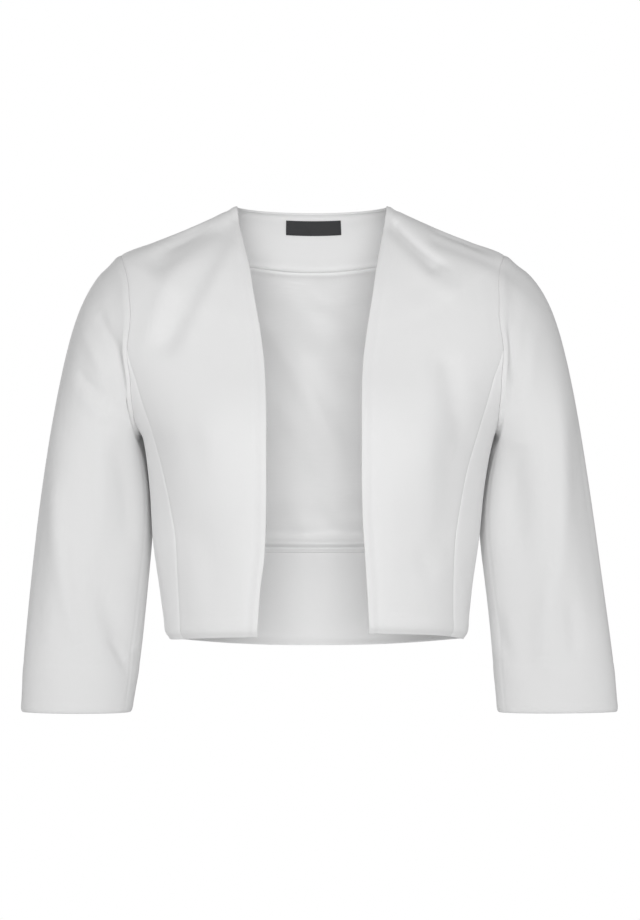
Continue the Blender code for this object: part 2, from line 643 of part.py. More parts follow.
for side in SIDES:
    front(side, shell)
    side_front(side, shell)
    sleeve(side, shell)
cloth("back", back_grid(), 0.0, CLOTH, shell)
back_layer("hem_facing", 0.0, LINING_LEVEL, shell)
back_layer("lining_back", LINING_LEVEL, FACING_LEVEL, satin, LINING_EASE)
back_layer("neck_facing", FACING_LEVEL, 1.0, shell)
label(woven_label)
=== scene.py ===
"""Looks of a cropped open-front bolero jacket: crepe shells, satin lining, facings and label.

Every panel is a thin closed shell on the form of its solid. The body is one smooth surface worked
out from loops round the figure: a loop has an angle (0 at centre front, 90 degrees at the wearer's
left side, 180 at centre back) and a level (0 at the hem, 1 at the neck). A panel is a patch of
that surface between its seams, and a sleeve is a tube from the armhole to the cuff. Metres, +Z up;
the wearer faces -Y and their left is +X.
"""

import bmesh
import bpy
import mathutils
import numpy as np
from bpy.props import FloatProperty, FloatVectorProperty, PointerProperty
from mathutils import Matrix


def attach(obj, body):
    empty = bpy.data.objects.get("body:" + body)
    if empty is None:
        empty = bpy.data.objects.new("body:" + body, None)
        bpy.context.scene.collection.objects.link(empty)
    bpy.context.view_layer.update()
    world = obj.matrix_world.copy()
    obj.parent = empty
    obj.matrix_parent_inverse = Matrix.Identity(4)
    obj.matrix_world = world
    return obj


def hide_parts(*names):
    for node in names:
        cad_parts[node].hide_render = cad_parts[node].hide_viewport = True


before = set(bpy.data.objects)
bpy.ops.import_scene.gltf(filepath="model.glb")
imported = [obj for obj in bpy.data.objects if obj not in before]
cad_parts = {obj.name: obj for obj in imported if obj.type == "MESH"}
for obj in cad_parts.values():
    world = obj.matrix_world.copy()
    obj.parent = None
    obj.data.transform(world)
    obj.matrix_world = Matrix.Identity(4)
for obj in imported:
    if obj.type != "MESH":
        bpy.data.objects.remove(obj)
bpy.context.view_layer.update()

bl_info = {
    "name": "Bolero jacket",
    "version": (1, 0, 0),
    "blender": (4, 5, 0),
    "location": "3D View > Sidebar > Bolero",
    "description": "Sews the shells of an open-front bolero jacket on its solids, and lights them",
    "category": "Object",
}

MM = 0.001
SLEEVE_STRIP = 2.5 * MM  # the narrow faces where a sleeve leaves the armhole

# Loops round the body, in millimetres. right_x and left_x are how far the sides reach; the side
# is virtual where the armhole is cut out. Squareness 2 is an ellipse, and more is boxier.
BODY_COLUMNS = (
    "level", "right_x", "left_x", "side_z", "front_y", "front_z", "back_y", "back_z", "squareness",
)
BODY_LOOPS = (
    (0, 150.5, 156, -415.5, -100, -409.5, 88, -425, 2.3),
    (0.12, 157.3, 161, -364, -108, -361.5, 85, -371.5, 2.32),
    (0.24, 164.3, 168.3, -312, -117, -311, 87, -318, 2.35),
    (0.36, 167.3, 173.2, -262, -124, -262, 93, -265, 2.38),
    (0.48, 173.6, 182.4, -212, -126, -214, 100, -212, 2.36),
    (0.52, 185.5, 190.5, -191, -124.5, -199, 102, -197, 2.3),
    (0.6, 205, 209.5, -150, -118.5, -173, 104, -166, 2.2),
    (0.7, 223.5, 226.5, -97, -107.5, -144, 102, -126, 2.1),
    (0.77, 216, 217, -54, -99, -122, 97, -95, 2.05),
    (0.81, 202, 199.5, -30, -94, -109, 93.5, -76, 2),
    (0.82, 196.4, 193.8, -24, -93, -106, 92.5, -71.5, 2),
    (0.87, 163.6, 160.6, -10.8, -87, -90.5, 86, -45, 2),
    (0.91, 137.5, 134, -0.4, -82, -78, 79, -24, 2),
    (0.955, 107.5, 104, 12.6, -73, -66, 70, -0.2, 2),
    (0.98, 91.5, 87.5, 20.2, -62, -59.5, 64, 12.8, 2),
    (1, 78.5, 74, 26.5, -46, -55, 59, 23.3, 2),
)
UNDERARM_Z, SHOULDER_LEVEL = -205.0 * MM, 0.820

# The front opening's edge, as its distance from the centre.
EDGE_COLUMNS = ("level", "right_x", "left_x")
FRONT_EDGE = (
    (0, 56.6, 55.3),
    (0.12, 53, 52.7),
    (0.2, 48.8, 50.5),
    (0.3, 46.9, 47.8),
    (0.4, 46.2, 46.7),
    (0.5, 46.2, 46.6),
    (0.62, 47, 46.8),
    (0.72, 48.9, 48.4),
    (0.82, 53.6, 53),
    (0.91, 60.3, 59),
    (0.955, 64.2, 62.6),
    (0.98, 70.4, 67),
    (1, 78.5, 74),
)
# The shaped seam from the armhole to the hem, between the front and the side front.
PRINCESS_SEAM = (
    (0, 134.5, 141),
    (0.12, 136.5, 140.2),
    (0.22, 138.5, 141.4),
    (0.32, 142.8, 146.3),
    (0.42, 150.3, 152.8),
    (0.5, 161, 163.8),
    (0.56, 171.5, 172.8),
    (0.62, 180, 180.8),
)

# The armhole in side view: an egg, with its middle half way from the shoulder to the underarm.
ARMHOLE_FRONT, ARMHOLE_BACK, ARMHOLE_EGG = 62.0 * MM, 58.0 * MM, 0.12
PRINCESS_TURN = np.radians(94)  # where the princess seam starts on the armhole
PRINCESS_LENGTH, ARMHOLE_FRONT_LENGTH = 300.0 * MM, 125.0 * MM
BACK_SPREAD = (0.4, 0.855)  # the back's middle, on the underarm's and the shoulder's rows
BESIDE_ARMHOLE = 0.70  # share of the princess seam that lies beside the side seam
# The side front ends just before the point where its two long seams meet: a share of the
# princess seam, and a turn of the armhole.
TIP_SHARE, TIP_TURN = 0.996, 0.01

# Sleeve sections, in millimetres, from the armhole to the cuff. The outer point is the sleeve's
# outline seen from the front, the inner point faces the body, and x is away from the centre.
SLEEVE_COLUMNS = ("outer_x", "outer_z", "inner_x", "inner_z", "inner_y", "front_y", "back_y")
SLEEVE_SECTIONS = {
    "right": (
        (196.4, -24, 177.6, -205, 0, -62, 58),
        (207.1, -29, 179.4, -209, 1, -62.5, 61),
        (218.3, -42.5, 179.2, -213.5, 3, -61.5, 64),
        (230.5, -59.2, 178.2, -218, 7, -59.5, 66),
        (240.7, -81.6, 176.2, -223, 12, -57, 67),
        (249.9, -110.2, 173.2, -230, 19, -54, 68),
        (258.1, -151, 169.4, -242, 26, -51, 68),
        (266.2, -191.8, 166.4, -260, 30, -48, 67),
        (272.4, -232.6, 164.4, -283, 29, -46, 64),
        (278.5, -273.4, 164.6, -308, 25, -45, 60),
        (283.6, -314.2, 168, -335, 20, -45, 54),
        (288.7, -365.2, 171.4, -377.5, 13, -44, 46),
        (293.8, -416.2, 175.2, -422.5, 7, -43, 38),
        (296.8, -457, 180.6, -460, 2, -43, 32),
        (297.9, -488.5, 186, -489.5, -2, -42, 29),
    ),
    "left": (
        (193.8, -24, 184.8, -205, 0, -62, 58),
        (206.4, -30.5, 186.4, -209, 1, -62.5, 61),
        (220.2, -42.5, 186, -213.5, 3, -61.5, 64),
        (233.4, -58.7, 184.6, -218, 7, -59.5, 66),
        (244.4, -81.6, 182.2, -223, 12, -57, 67),
        (252.9, -110.2, 179, -230, 19, -54, 68),
        (261.6, -151, 175, -242, 26, -51, 68),
        (269.6, -191.8, 171.4, -260, 30, -48, 66),
        (275.4, -232.6, 169, -283, 29, -45, 62),
        (282.5, -273.4, 168.6, -308, 24, -43, 56),
        (287.6, -314.2, 171.8, -335, 18, -42, 49),
        (294.8, -365.2, 178.2, -377.5, 11, -40, 41),
        (301.9, -416.2, 181.6, -422.5, 6, -38, 33),
        (307, -457, 184, -460, 1, -37, 27),
        (309.3, -488.5, 187, -489.5, -3, -36, 24),
    ),
}
# Share of the sleeve over which its sections lose the armhole's shape, and its mean round the arm.
ARMHOLE_FADE, FADE_MEAN = 0.45, 0.55
# How far the sleeve stands off below its seam, where along the sleeve, and over what half width.
UNDERARM_PUFF, PUFF_PLACE, PUFF_WIDTH = 3.5 * MM, 0.07, 0.08
# Between the body and the sleeve under the arm, with its share beside the seam, down to a height.
SLEEVE_CLEARANCE, SEAM_CLEARANCE, CLEAR_DOWN_TO = 2.0 * MM, 0.4, -420 * MM
# Where along the sleeve its folds and its clearance begin, and over what share they grow.
SETTLE_START, SETTLE_SPAN = 0.03, 0.10
SLEEVE_LENGTH, SLEEVE_RADIUS = 460 * MM, 48 * MM
SLEEVE_SMOOTHINGS = 2  # how often the rings are averaged with their neighbours
STEEPEST_LEAVE = np.radians(115)  # how far the sleeve folds back at its seam
# Where along the sleeve the rings of its solid lie.
SLEEVE_RINGS = (
    0.08, 0.14, 0.2, 0.26, 0.32, 0.38, 0.44, 0.5, 0.56, 0.62, 0.68, 0.74, 0.8, 0.86, 0.91,
    0.955,
)

# Folds of the body, in millimetres, as soft troughs (negative) or ridges along a line in front
# view, each a bell in cross-section: start x and z, end x and z, height and half width.
FRONT_FOLDS = (
    (-82, 12, -146, -112, -4, 13),
    (-104, 4, -158, -30, -5, 15),
    (82, 4, 120, -36, -4.5, 9),
    (128, -8, 186, -32, -4, 11),
    (134, -140, 146, -208, -3, 12),
    (-92, -212, -94, -226, 8, 62),
    (92, -206, 94, -220, 8, 62),
)
BACK_FOLDS = (
    (-150, -150, -70, -250, -3.5, 15),
    (152, -146, 74, -240, -3.5, 16),
    (-36, -300, -30, -400, -3, 18),
    (44, -290, 40, -395, -2.5, 16),
    (-96, -20, -140, -90, -3, 15),
    (98, -18, 138, -84, -3, 15),
)
# Folds of a sleeve, along a line in front view; x is away from the centre.
SLEEVE_FOLDS = {
    "right": (
        (219, -92, 201, -150, -3, 10),
        (236, -150, 212, -176, -2.5, 9),
        (206, -318, 186, -424, -3.5, 14),
        (262, -250, 268, -400, 3, 20),
    ),
    "left": (
        (222, -96, 208, -152, -2.5, 10),
        (196, -230, 206, -330, -3.5, 16),
        (198, -392, 224, -440, -3, 12),
        (246, -250, 246, -400, 3, 18),
    ),
}

# Inside the back: a neck facing, the lining under it and a deep hem facing.
FACING_LEVEL, LINING_LEVEL = 0.885, 0.215
LINING_CALM = 25 * MM  # how far up from its lower edge the lining has no folds
LABEL_WIDTH, LABEL_LEVELS = 59.5 * MM, (0.9575, 0.9865)

SIDES = {"right": -1, "left": 1}  # the wearer's

# Creases finer than the solids' folds, in millimetres, each along a curve in front view: x and z
# of its start, middle and end, its height (a trough's is negative) and its half width.
FRONT_CREASES = (
    (-104, 7, -132, -6, -153, -19, -3.6, 7.5),
    (118, 3, 150, -9, 187, -26, -3.2, 5.5),
    (-100, -8, -126, -52, -150, -112, -0.6, 9),
    (-78, -14, -104, -62, -132, -122, 1.6, 10),
    (-132, -30, -150, -62, -166, -110, 1.5, 9),
    (-92, 4, -130, -10, -166, -30, -1.5, 8),
    (78, 12, 106, -19, 137, -40, -1.8, 3.6),
    (92, -26, 124, -56, 148, -66, 1.6, 10),
    (128, -18, 156, -30, 186, -44, 1, 8),
    (129, -160, 137, -196, 135, -250, -0.7, 10),
    (112, -132, 116, -190, 112, -250, 1.2, 12),
    (-128, -186, -118, -214, -112, -250, -1.2, 11),
    (104, -318, 110, -336, 118, -352, -1.3, 9),
    (-112, -306, -104, -340, -104, -386, -1, 11),
    (-70, -270, -74, -330, -72, -396, 0.9, 12),
    (78, -250, 76, -320, 80, -396, 0.9, 12),
    (-160, -250, -152, -300, -150, -372, -1, 8),
    (162, -244, 156, -300, 158, -380, -1, 9),
    (82, 4, 101, -16, 120, -36, 1.3, 9),
    (-130, -286, -119, -308, -102, -326, -2, 22),
    (-124, -196, -112, -212, -94, -220, 1.2, 18),
    (136, -220, 134, -272, 121, -332, -2, 14),
    (98, -190, 104, -220, 108, -252, 1.2, 19),
    (128, -8, 157, -20, 186, -32, 0.9, 10),
    (-82, 12, -114, -50, -146, -112, 1.2, 12),
    (134, -140, 140, -174, 146, -208, 1, 12),
)
BACK_CREASES = (
    (-158, -132, -124, -196, -84, -238, -1.6, 7),
    (-140, -118, -100, -176, -60, -206, 1.5, 10),
    (160, -126, 126, -186, 90, -232, -1.5, 7),
    (142, -112, 106, -166, 66, -196, 1.4, 11),
    (-60, -30, -84, -66, -120, -92, -1.3, 8),
    (66, -26, 92, -60, 124, -82, -1.2, 8),
    (-20, -276, -26, -330, -22, -400, -1.2, 9),
    (28, -286, 34, -340, 30, -396, 1.2, 11),
    (-112, -262, -96, -320, -92, -384, -1.1, 9),
    (112, -252, 98, -310, 100, -380, -1.2, 10),
    (-10, -44, 4, -66, 26, -74, -0.9, 8),
)
# A sleeve's creases on its front and on its back; x is away from the centre.
SLEEVE_CREASES = {
    "right": {
        "front": (
            (219, -84, 203, -114, 187, -164, -2.6, 6.5),
            (234, -98, 221, -128, 211, -150, 2, 7.5),
            (238, -142, 226, -158, 212, -168, -2.2, 6),
            (236, -164, 222, -180, 206, -188, 1.4, 7),
            (262, -256, 256, -334, 238, -420, 2.7, 9.5),
            (276, -220, 280, -310, 282, -410, -2.8, 13),
            (224, -336, 203, -402, 186, -430, -2.3, 12),
            (206, -412, 196, -430, 190, -450, -1.4, 5),
            (198, -216, 190, -268, 188, -322, -2, 10),
            (218, -200, 216, -250, 214, -300, 1.2, 10),
            (246, -92, 252, -148, 250, -206, -1.2, 12),
        ),
        "back": (
            (206, -116, 226, -156, 252, -176, -1.6, 8),
            (196, -186, 222, -232, 262, -252, -1.7, 9),
            (190, -256, 218, -276, 256, -284, 1.4, 9),
            (196, -296, 222, -314, 262, -314, -1.4, 8),
            (212, -352, 226, -402, 224, -440, -1.2, 10),
        ),
    },
    "left": {
        "front": (
            (190, -92, 195, -118, 202, -152, -2, 6),
            (222, -100, 219, -136, 216, -170, 1.4, 8),
            (247, -158, 252, -244, 249, -344, 2.7, 9),
            (244, -338, 237, -376, 232, -432, 2.1, 11),
            (206, -216, 202, -266, 205, -324, -3, 19),
            (187, -386, 190, -410, 197, -430, -1.5, 6.5),
            (268, -190, 277, -290, 288, -390, -3.2, 14),
            (258, -372, 262, -402, 264, -432, -1.7, 8),
        ),
        "back": (
            (210, -108, 232, -142, 256, -160, -1.5, 8),
            (200, -196, 232, -226, 266, -238, -1.8, 9),
            (200, -262, 232, -272, 262, -268, 1.3, 9),
            (206, -302, 236, -304, 268, -292, -1.3, 8),
            (222, -356, 240, -398, 236, -446, -1.2, 10),
        ),
    },
}
# Soft folds of the lining, which stand off towards the wearer.
LINING_CREASES = (
    (-58, -84, -30, -122, 6, -186, 2, 14),
    (-30, -52, 0, -92, 40, -150, 2.2, 16),
    (-66, -160, -40, -206, -2, -268, 1.9, 15),
    (-16, -156, 14, -202, 40, -270, 1.6, 14),
    (30, -60, 50, -110, 56, -160, 1.8, 14),
    (-110, -120, -96, -190, -70, -262, 2.2, 13),
    (106, -110, 98, -180, 88, -262, 2.2, 13),
    (-4, -282, 10, -296, 30, -304, 1.8, 12),
)
# How a panel's edge lies: dips and ridges along it, as height, distance in and half width, in
# millimetres. The first row of a seam is its groove, the others its pressed allowances.
EDGES = {
    "seam": ((-0.17, 0, 0.8), (0.08, 4, 2.6), (-0.04, 12, 4)),
    "opening": ((0.55, 4.5, 3.4), (-0.35, 10.5, 3.4), (0.12, 18, 5)),
    "hem": ((-3.4, 0, 5), (0.35, 12, 6), (-0.15, 26, 7)),
    "neck": ((-0.7, 0, 2.2), (0.3, 5, 3.4), (-0.1, 11, 4)),
    "inside": ((0.33, 0, 1), (-0.5, 3.2, 2.2), (0.12, 9, 3)),
}
SLEEVE_DEPTH = 1.3  # the sleeves' creases are this much deeper than their tables say
SLEEVE_HEAD = ((0.6, 5.5, 4.5), (-1, 18, 9))  # the roll of the sleeve head, and below it
# The cuff: its edge, the roll above it, the line of the turned-up hem and the cloth below that.
CUFF = ((-0.8, 0, 2), (0.25, 6, 4), (-0.16, 51, 2.2), (0.3, 40, 9))
CUFF_SEAM_TURN, CUFF_SEAM = 2.64, (-0.45, 0, 1.2)  # the sleeve's own seam, inside the arm
# Cloth that bunches behind the underarm: height, way down and its half width, in millimetres.
BUNCH = {"right": (9, 18, 22), "left": (7, 18, 22)}
BUNCH_TURN, BUNCH_SPREAD = 3.75, 0.48
# How far the hem of a front is lifted at the opening, and how far up the cloth takes it up.
HEM_LIFT, HEM_LIFT_REACH = {"right": 0, "left": 3.6 * MM}, 90 * MM
# The lining hangs in a small pleat over the hem facing: heights and distances up from its edge.
PLEAT = ((3.4, 4.4, 2.6), (-1.5, 10, 2.6), (1.9, 19, 9))

# Stitches at each end of the label: how many, their half width, and the columns of the label's
# points that they run along.
LABEL_STITCHES, LABEL_THREAD, STITCH_COLUMNS = 6, 0.16 * MM, (2, -3)

# How fast things fade towards the side of the body, as a share of the way to its middle line.
FOLD_FADE, CREASE_FADE, LIFT_FADE = 0.4, 0.15, 0.7
# On a sleeve: the front's share of the section (a steep step), the turn of the head's middle, and
# how far down from the armhole the creases and the sleeve's own seam start.
FRONT_STEP, HEAD_TURN, CREASE_START, SEAM_START = 3, 0.35, 14 * MM, 60 * MM
# A crease: points along its curve, and its height at the ends with the power of its rise.
CREASE_POINTS, CREASE_END, CREASE_RISE = 25, 0.25, 0.7
EDGE_WALL = 0.08  # share of its thickness that the cloth keeps at its very edge
EDGE_PULL = 4  # a high power: only the ends of a back's row take their level from the edge
# How finely a seam and the armhole are followed, and how often a level's range is halved.
SEAM_POINTS, ARMHOLE_POINTS, HALVINGS = 401, 241, 40

# Rows and columns of points. They crowd near the edges, by these shares.
GRIDS = {
    "front": (170, 84), "side_front": (130, 48), "back": (190, 190), "facing": (70, 190),
    "sleeve": (190, 180), "label": (22, 64), "thread": (8, 8), "floor": (24, 96),
}
CROWD, SLEEVE_CROWD, LABEL_CROWD = 0.75, 0.85, 0.5

# The studio: where the camera looks from, the floor, and the lights with their place, their size
# and the property that holds their power.
CAMERA_X, CAMERA_Z, SENSOR, FAR = 0.0061, -0.2326, 36.0, 100.0
FLOOR_Z, FLOOR_INNER, FLOOR_OUTER = -1.3, 0.0002, 3.5
LIGHTS_AIM = (0.0, 0.0, -0.22)
LIGHTS = {
    "key_light": ((0.0, -4.6, 0.7), 2.8, "key"),
    "fill_light": ((0.0, -4.4, -0.35), 1.8, "fill"),
    "back_light": ((-1.2, 4.4, 1.0), 2.4, "back"),
    "rear_light_left": ((3.2, 1.6, -0.1), 2.0, "rear"),
    "rear_light_right": ((-3.2, 1.6, -0.1), 2.0, "rear"),
}


def cubic(values, slopes, i, step, u):
    """A cubic from the value i to the next one, with their slopes, at the share u of the step."""
    return (
        values[i] * (1 + 2 * u) * (1 - u) ** 2
        + slopes[i] * step * u * (1 - u) ** 2
        + values[i + 1] * u**2 * (3 - 2 * u)
        + slopes[i + 1] * step * u**2 * (u - 1)
    )


def through(stations, values, at):
    """A smooth curve through a table's values that never overshoots them (a monotone cubic)."""
    stations, values = np.asarray(stations, float), np.asarray(values, float)
    step = np.diff(stations)
    slope = np.diff(values) / step
    before, after = slope[:-1], slope[1:]
    near, far = step[:-1] + 2 * step[1:], 2 * step[:-1] + step[1:]
    rising = before * after > 0
    safe_before = np.where(rising, before, 1.0)
    safe_after = np.where(rising, after, 1.0)
    tangent = np.empty_like(values)
    tangent[0], tangent[-1] = slope[0], slope[-1]
    tangent[1:-1] = np.where(rising, (near + far) / (near / safe_before + far / safe_after), 0.0)
    at = np.clip(at, stations[0], stations[-1])
    i = np.clip(np.searchsorted(stations, at, side="right") - 1, 0, len(step) - 1)
    return cubic(values, tangent, i, step[i], (at - stations[i]) / step[i])


def body(column, level):
    """One column of the body's loops at a level, in metres (squareness is a plain number)."""
    table = np.array(BODY_LOOPS)
    scale = 1.0 if column == "squareness" else MM
    return through(table[:, 0], table[:, BODY_COLUMNS.index(column)], level) * scale


def along_seam(table, side, level):
    """A seam's distance from the centre at a level, in metres."""
    table = np.array(table)
    return through(table[:, 0], table[:, EDGE_COLUMNS.index(side + "_x")], level) * MM


def loop_point(angle, level):
    """A point of the body's smooth form: a superellipse loop whose sides are lifted to side_z."""
    sine, cosine = np.sin(angle), np.cos(angle)
    n = body("squareness", level)
    reach = (np.abs(sine) ** n + np.abs(cosine) ** n) ** (-1 / n)
    across, forward = sine * reach, cosine * reach
    half_width = np.where(sine >= 0, body("left_x", level), body("right_x", level))
    in_front = forward >= 0
    depth = np.where(in_front, body("front_y", level), -body("back_y", level))
    middle_z = np.where(in_front, body("front_z", level), body("back_z", level))
    side_z = body("side_z", level)
    return np.stack(
        [half_width * across, depth * forward, side_z + (middle_z - side_z) * forward**2], axis=-1
    )


def rise(share):
    """A smooth step from 0 to 1."""
    share = np.clip(share, 0, 1)
    return share * share * (3 - 2 * share)


def folds_at(x, z, folds):
    """The height of a table of folds at a place in front view, in metres."""
    height = np.zeros(np.broadcast(x, z).shape)
    for start_x, start_z, end_x, end_z, depth, half_width in np.array(folds) * MM:
        run = np.array([end_x - start_x, end_z - start_z])
        share = ((x - start_x) * run[0] + (z - start_z) * run[1]) / (run @ run)
        share = np.clip(share, 0, 1)
        off = np.hypot(x - start_x - share * run[0], z - start_z - share * run[1])
        height = height + depth * np.exp(-((off / half_width) ** 2))
    return height


def unit(vectors):
    return vectors / np.linalg.norm(vectors, axis=-1, keepdims=True)


def body_normal(angle, level):
    """The outward direction of the body's smooth form."""
    turn, lift = 1e-3, 1e-4
    low, high = np.clip(level - lift, 0, 1), np.clip(level + lift, 0, 1)
    round_it = loop_point(angle + turn, level) - loop_point(angle - turn, level)
    up = loop_point(angle, high) - loop_point(angle, low)
    return unit(np.cross(round_it, up))


def body_surface(angle, level, inward=0.0):
    """A point of the cloth's outer face, with its folds, or the same moved towards the wearer."""
    smooth = loop_point(angle, level)
    x, z = smooth[..., 0], smooth[..., 2]
    forward = np.cos(angle)
    front_share, back_share = rise(forward / FOLD_FADE), rise(-forward / FOLD_FADE)
    relief = front_share * folds_at(x, z, FRONT_FOLDS) + back_share * folds_at(x, z, BACK_FOLDS)
    return smooth + (relief - inward)[..., None] * body_normal(angle, level)


def seam_angle(table, side, level):
    """The angle at which a seam crosses a level, from the centre front, without its sign."""
    share = along_seam(table, side, level) / body(side + "_x", level)
    n = body("squareness", level)
    share = np.clip(share, 0, 1)
    return np.arctan2(share, (1 - share**n) ** (1 / n))


def place_of(y, z):
    """The (angle, level) of the body's surface at a place in side view; the level by halving."""
    low, high = np.zeros(np.shape(y)), np.ones(np.shape(y))
    for _ in range(HALVINGS):
        level = (low + high) / 2
        depth = np.where(y <= 0, body("front_y", level), body("back_y", level))
        middle_z = np.where(y <= 0, body("front_z", level), body("back_z", level))
        side_z = body("side_z", level)
        below = side_z + (middle_z - side_z) * np.minimum((y / depth) ** 2, 1) < z
        low, high = np.where(below, level, low), np.where(below, high, level)
    forward = np.clip(np.abs(y / depth), 0, 1)
    n = body("squareness", level)
    across = (1 - forward**n) ** (1 / n)
    return np.arctan2(across, np.where(y <= 0, forward, -forward)), level


def armhole(turn):
    """The armhole as (angle, level). turn is 0 at the shoulder, a quarter at the front and a
    half at the underarm. In side view it is an egg."""
    turn = np.asarray(turn, float)
    top = body("side_z", SHOULDER_LEVEL)
    half_width = np.where(np.sin(turn) >= 0, ARMHOLE_FRONT, ARMHOLE_BACK)
    y = -half_width * np.sin(turn) * (1 - ARMHOLE_EGG * np.cos(turn))
    z = (top + UNDERARM_Z) / 2 + (top - UNDERARM_Z) / 2 * np.cos(turn)
    angle, level = place_of(y, z)
    at_seam = np.abs(np.sin(turn)) < 1e-9
    return np.where(at_seam, np.pi / 2, angle), level


def princess(side, share):
    """The princess seam as (angle, level), at shares of its way from the hem to the armhole."""
    end_angle, end_level = (part[0] for part in armhole(np.array([PRINCESS_TURN])))
    last = PRINCESS_SEAM[-1][0]
    level = share * end_level
    ease = np.clip((level - last) / (end_level - last), 0, 1)
    below = seam_angle(PRINCESS_SEAM, side, np.minimum(level, last))
    return below + (end_angle - below) * ease, level


def by_length(curve, side, share):
    """The points of a seam, a function of a fraction, at shares of its length."""
    dense = (1 - np.cos(np.linspace(0, np.pi, SEAM_POINTS))) / 2
    points = loop_point(*curve(dense)) * [SIDES[side], 1, 1]
    run = np.concatenate([[0], np.cumsum(np.linalg.norm(np.diff(points, axis=0), axis=1))])
    return np.array(curve(np.interp(share, run / run[-1], dense)))


def blend_patch(bottom, top, first, last, across, up):
    """(angle, level) on a grid inside four seams, blended from them (a Coons patch)."""
    s, t = np.meshgrid(across, up)
    ruled = (1 - t) * bottom[:, None, :] + t * top[:, None, :]
    crossed = (1 - s) * first[:, :, None] + s * last[:, :, None]
    corners = (first[:, 0], last[:, 0], first[:, -1], last[:, -1])
    weights = ((1 - s) * (1 - t), s * (1 - t), (1 - s) * t, s * t)
    both = sum(weight * spot[:, None, None] for weight, spot in zip(weights, corners))
    return ruled + crossed - both


def grid_faces(rows, columns):
    """The quads of a grid of points that are numbered row by row."""
    index = np.arange(rows * columns).reshape(rows, columns)
    face = np.stack([index[:-1, :-1], index[:-1, 1:], index[1:, 1:], index[1:, :-1]], axis=-1)
    return face.reshape(-1, 4)


def outline_of(rows, columns):
    """The rows and columns of a grid's outline, in order."""
    row = np.concatenate([
        np.zeros(columns - 1), np.arange(rows - 1),
        np.full(columns - 1, rows - 1), np.arange(rows - 1, 0, -1),
    ])
    column = np.concatenate([
        np.arange(columns - 1), np.full(rows - 1, columns - 1),
        np.arange(columns - 1, 0, -1), np.zeros(rows - 1),
    ])
    return row.astype(int), column.astype(int)


def sleeve_column(side, column, along):
    table = np.array(SLEEVE_SECTIONS[side])
    rows = np.linspace(0, 1, len(table))
    return through(rows, table[:, SLEEVE_COLUMNS.index(column)], along) * MM


def sleeve_section(side, along, turn):
    """A point of a sleeve's plain tube: an ellipse from the outer point to the inner one."""
    sign = SIDES[side]
    outer_x, outer_z, inner_x, inner_z, inner_y, front_y, back_y = (
        sleeve_column(side, column, along) for column in SLEEVE_COLUMNS
    )
    middle_y = (front_y + back_y) / 2
    half_depth = (back_y - front_y) / 2
    outer_y = 2 * middle_y - inner_y
    lean = np.cos(turn)
    x = (outer_x + inner_x) / 2 + (outer_x - inner_x) / 2 * lean
    y = (outer_y + inner_y) / 2 + (outer_y - inner_y) / 2 * lean - half_depth * np.sin(turn)
    z = (outer_z + inner_z) / 2 + (outer_z - inner_z) / 2 * lean
    return np.stack([sign * x, y, z], axis=-1)


def seam_frame(side, turn):
    """On the armhole: its points, the body's outward direction, and the way into the hole."""
    sign = SIDES[side]
    angle, level = armhole(turn)
    point = body_surface(sign * angle, level)
    outward = body_normal(sign * angle, level)
    run = unit(np.roll(point, -1, axis=0) - np.roll(point, 1, axis=0))
    inwards = unit(np.cross(outward, run))
    facing = np.sign(((point.mean(axis=0) - point) * inwards).sum(axis=-1, keepdims=True))
    return point, outward, inwards * facing, run


def clear_of_body(rings, clearance, side):
    """Move a sleeve's points out where they would come too near to the body beside the armhole
    or below it."""
    y, z = rings[..., 1], rings[..., 2]
    top = body("side_z", SHOULDER_LEVEL)
    height = (z - (top + UNDERARM_Z) / 2) / ((top - UNDERARM_Z) / 2)
    half_width = np.where(y <= 0, ARMHOLE_FRONT, ARMHOLE_BACK) * (1 - ARMHOLE_EGG * height)
    in_hole = np.abs(y) < half_width * np.sqrt(np.clip(1 - height**2, 0, 1))
    angle, level = place_of(y, z)
    limit = np.abs(loop_point(SIDES[side] * angle, level)[..., 0]) + clearance
    reach = np.abs(rings[..., 0])
    beside = ~in_hole & (z > CLEAR_DOWN_TO)
    moved = np.where(beside, np.maximum(reach, limit), reach)
    return np.concatenate([SIDES[side] * moved[..., None], rings[..., 1:]], axis=-1)


def creases_at(x, z, creases):
    """The height of a table of creases at a place in front view: each is a bell about the nearest
    point of its curve (a quadratic one), and fades out at both ends."""
    height = np.zeros(np.broadcast(x, z).shape)
    along = np.linspace(0, 1, CREASE_POINTS)
    for row in np.array(creases) * MM:
        start, middle, end = row[0:2], row[2:4], row[4:6]
        bend = 2 * middle - (start + end) / 2
        curve = (
            np.outer((1 - along) ** 2, start)
            + np.outer(2 * along * (1 - along), bend)
            + np.outer(along**2, end)
        )
        off = np.hypot(x[..., None] - curve[:, 0], z[..., None] - curve[:, 1])
        nearest = off.argmin(axis=-1)
        swell = np.sin(np.pi * along[nearest]) ** CREASE_RISE
        strength = CREASE_END + (1 - CREASE_END) * swell
        height = height + row[6] * strength * np.exp(-((off.min(axis=-1) / row[7]) ** 2))
    return height


def bells(distance, table):
    """The sum of bell-shaped ridges and dips at distances, in metres, from an edge."""
    return sum(
        height * np.exp(-(((distance - place) / width) ** 2))
        for height, place, width in np.array(table) * MM
    )


def crowded(count, crowd=CROWD):
    """Shares from 0 to 1 that lie closer together at both ends."""
    share = np.linspace(0, 1, count)
    return share - crowd / (2 * np.pi) * np.sin(2 * np.pi * share)


def with_stop(shares, stop):
    """The same rising shares, the nearest one moved onto a stop, so that a corner is met."""
    shares = shares.copy()
    shares[np.argmin(np.abs(shares - stop))] = stop
    return shares


def running_length(points, axis):
    """How far each point of a grid is along its own row or column, from the first one."""
    steps = np.linalg.norm(np.diff(points, axis=axis), axis=-1)
    blank = np.zeros_like(np.take(steps, [0], axis=axis))
    return np.concatenate([blank, np.cumsum(steps, axis=axis)], axis=axis)


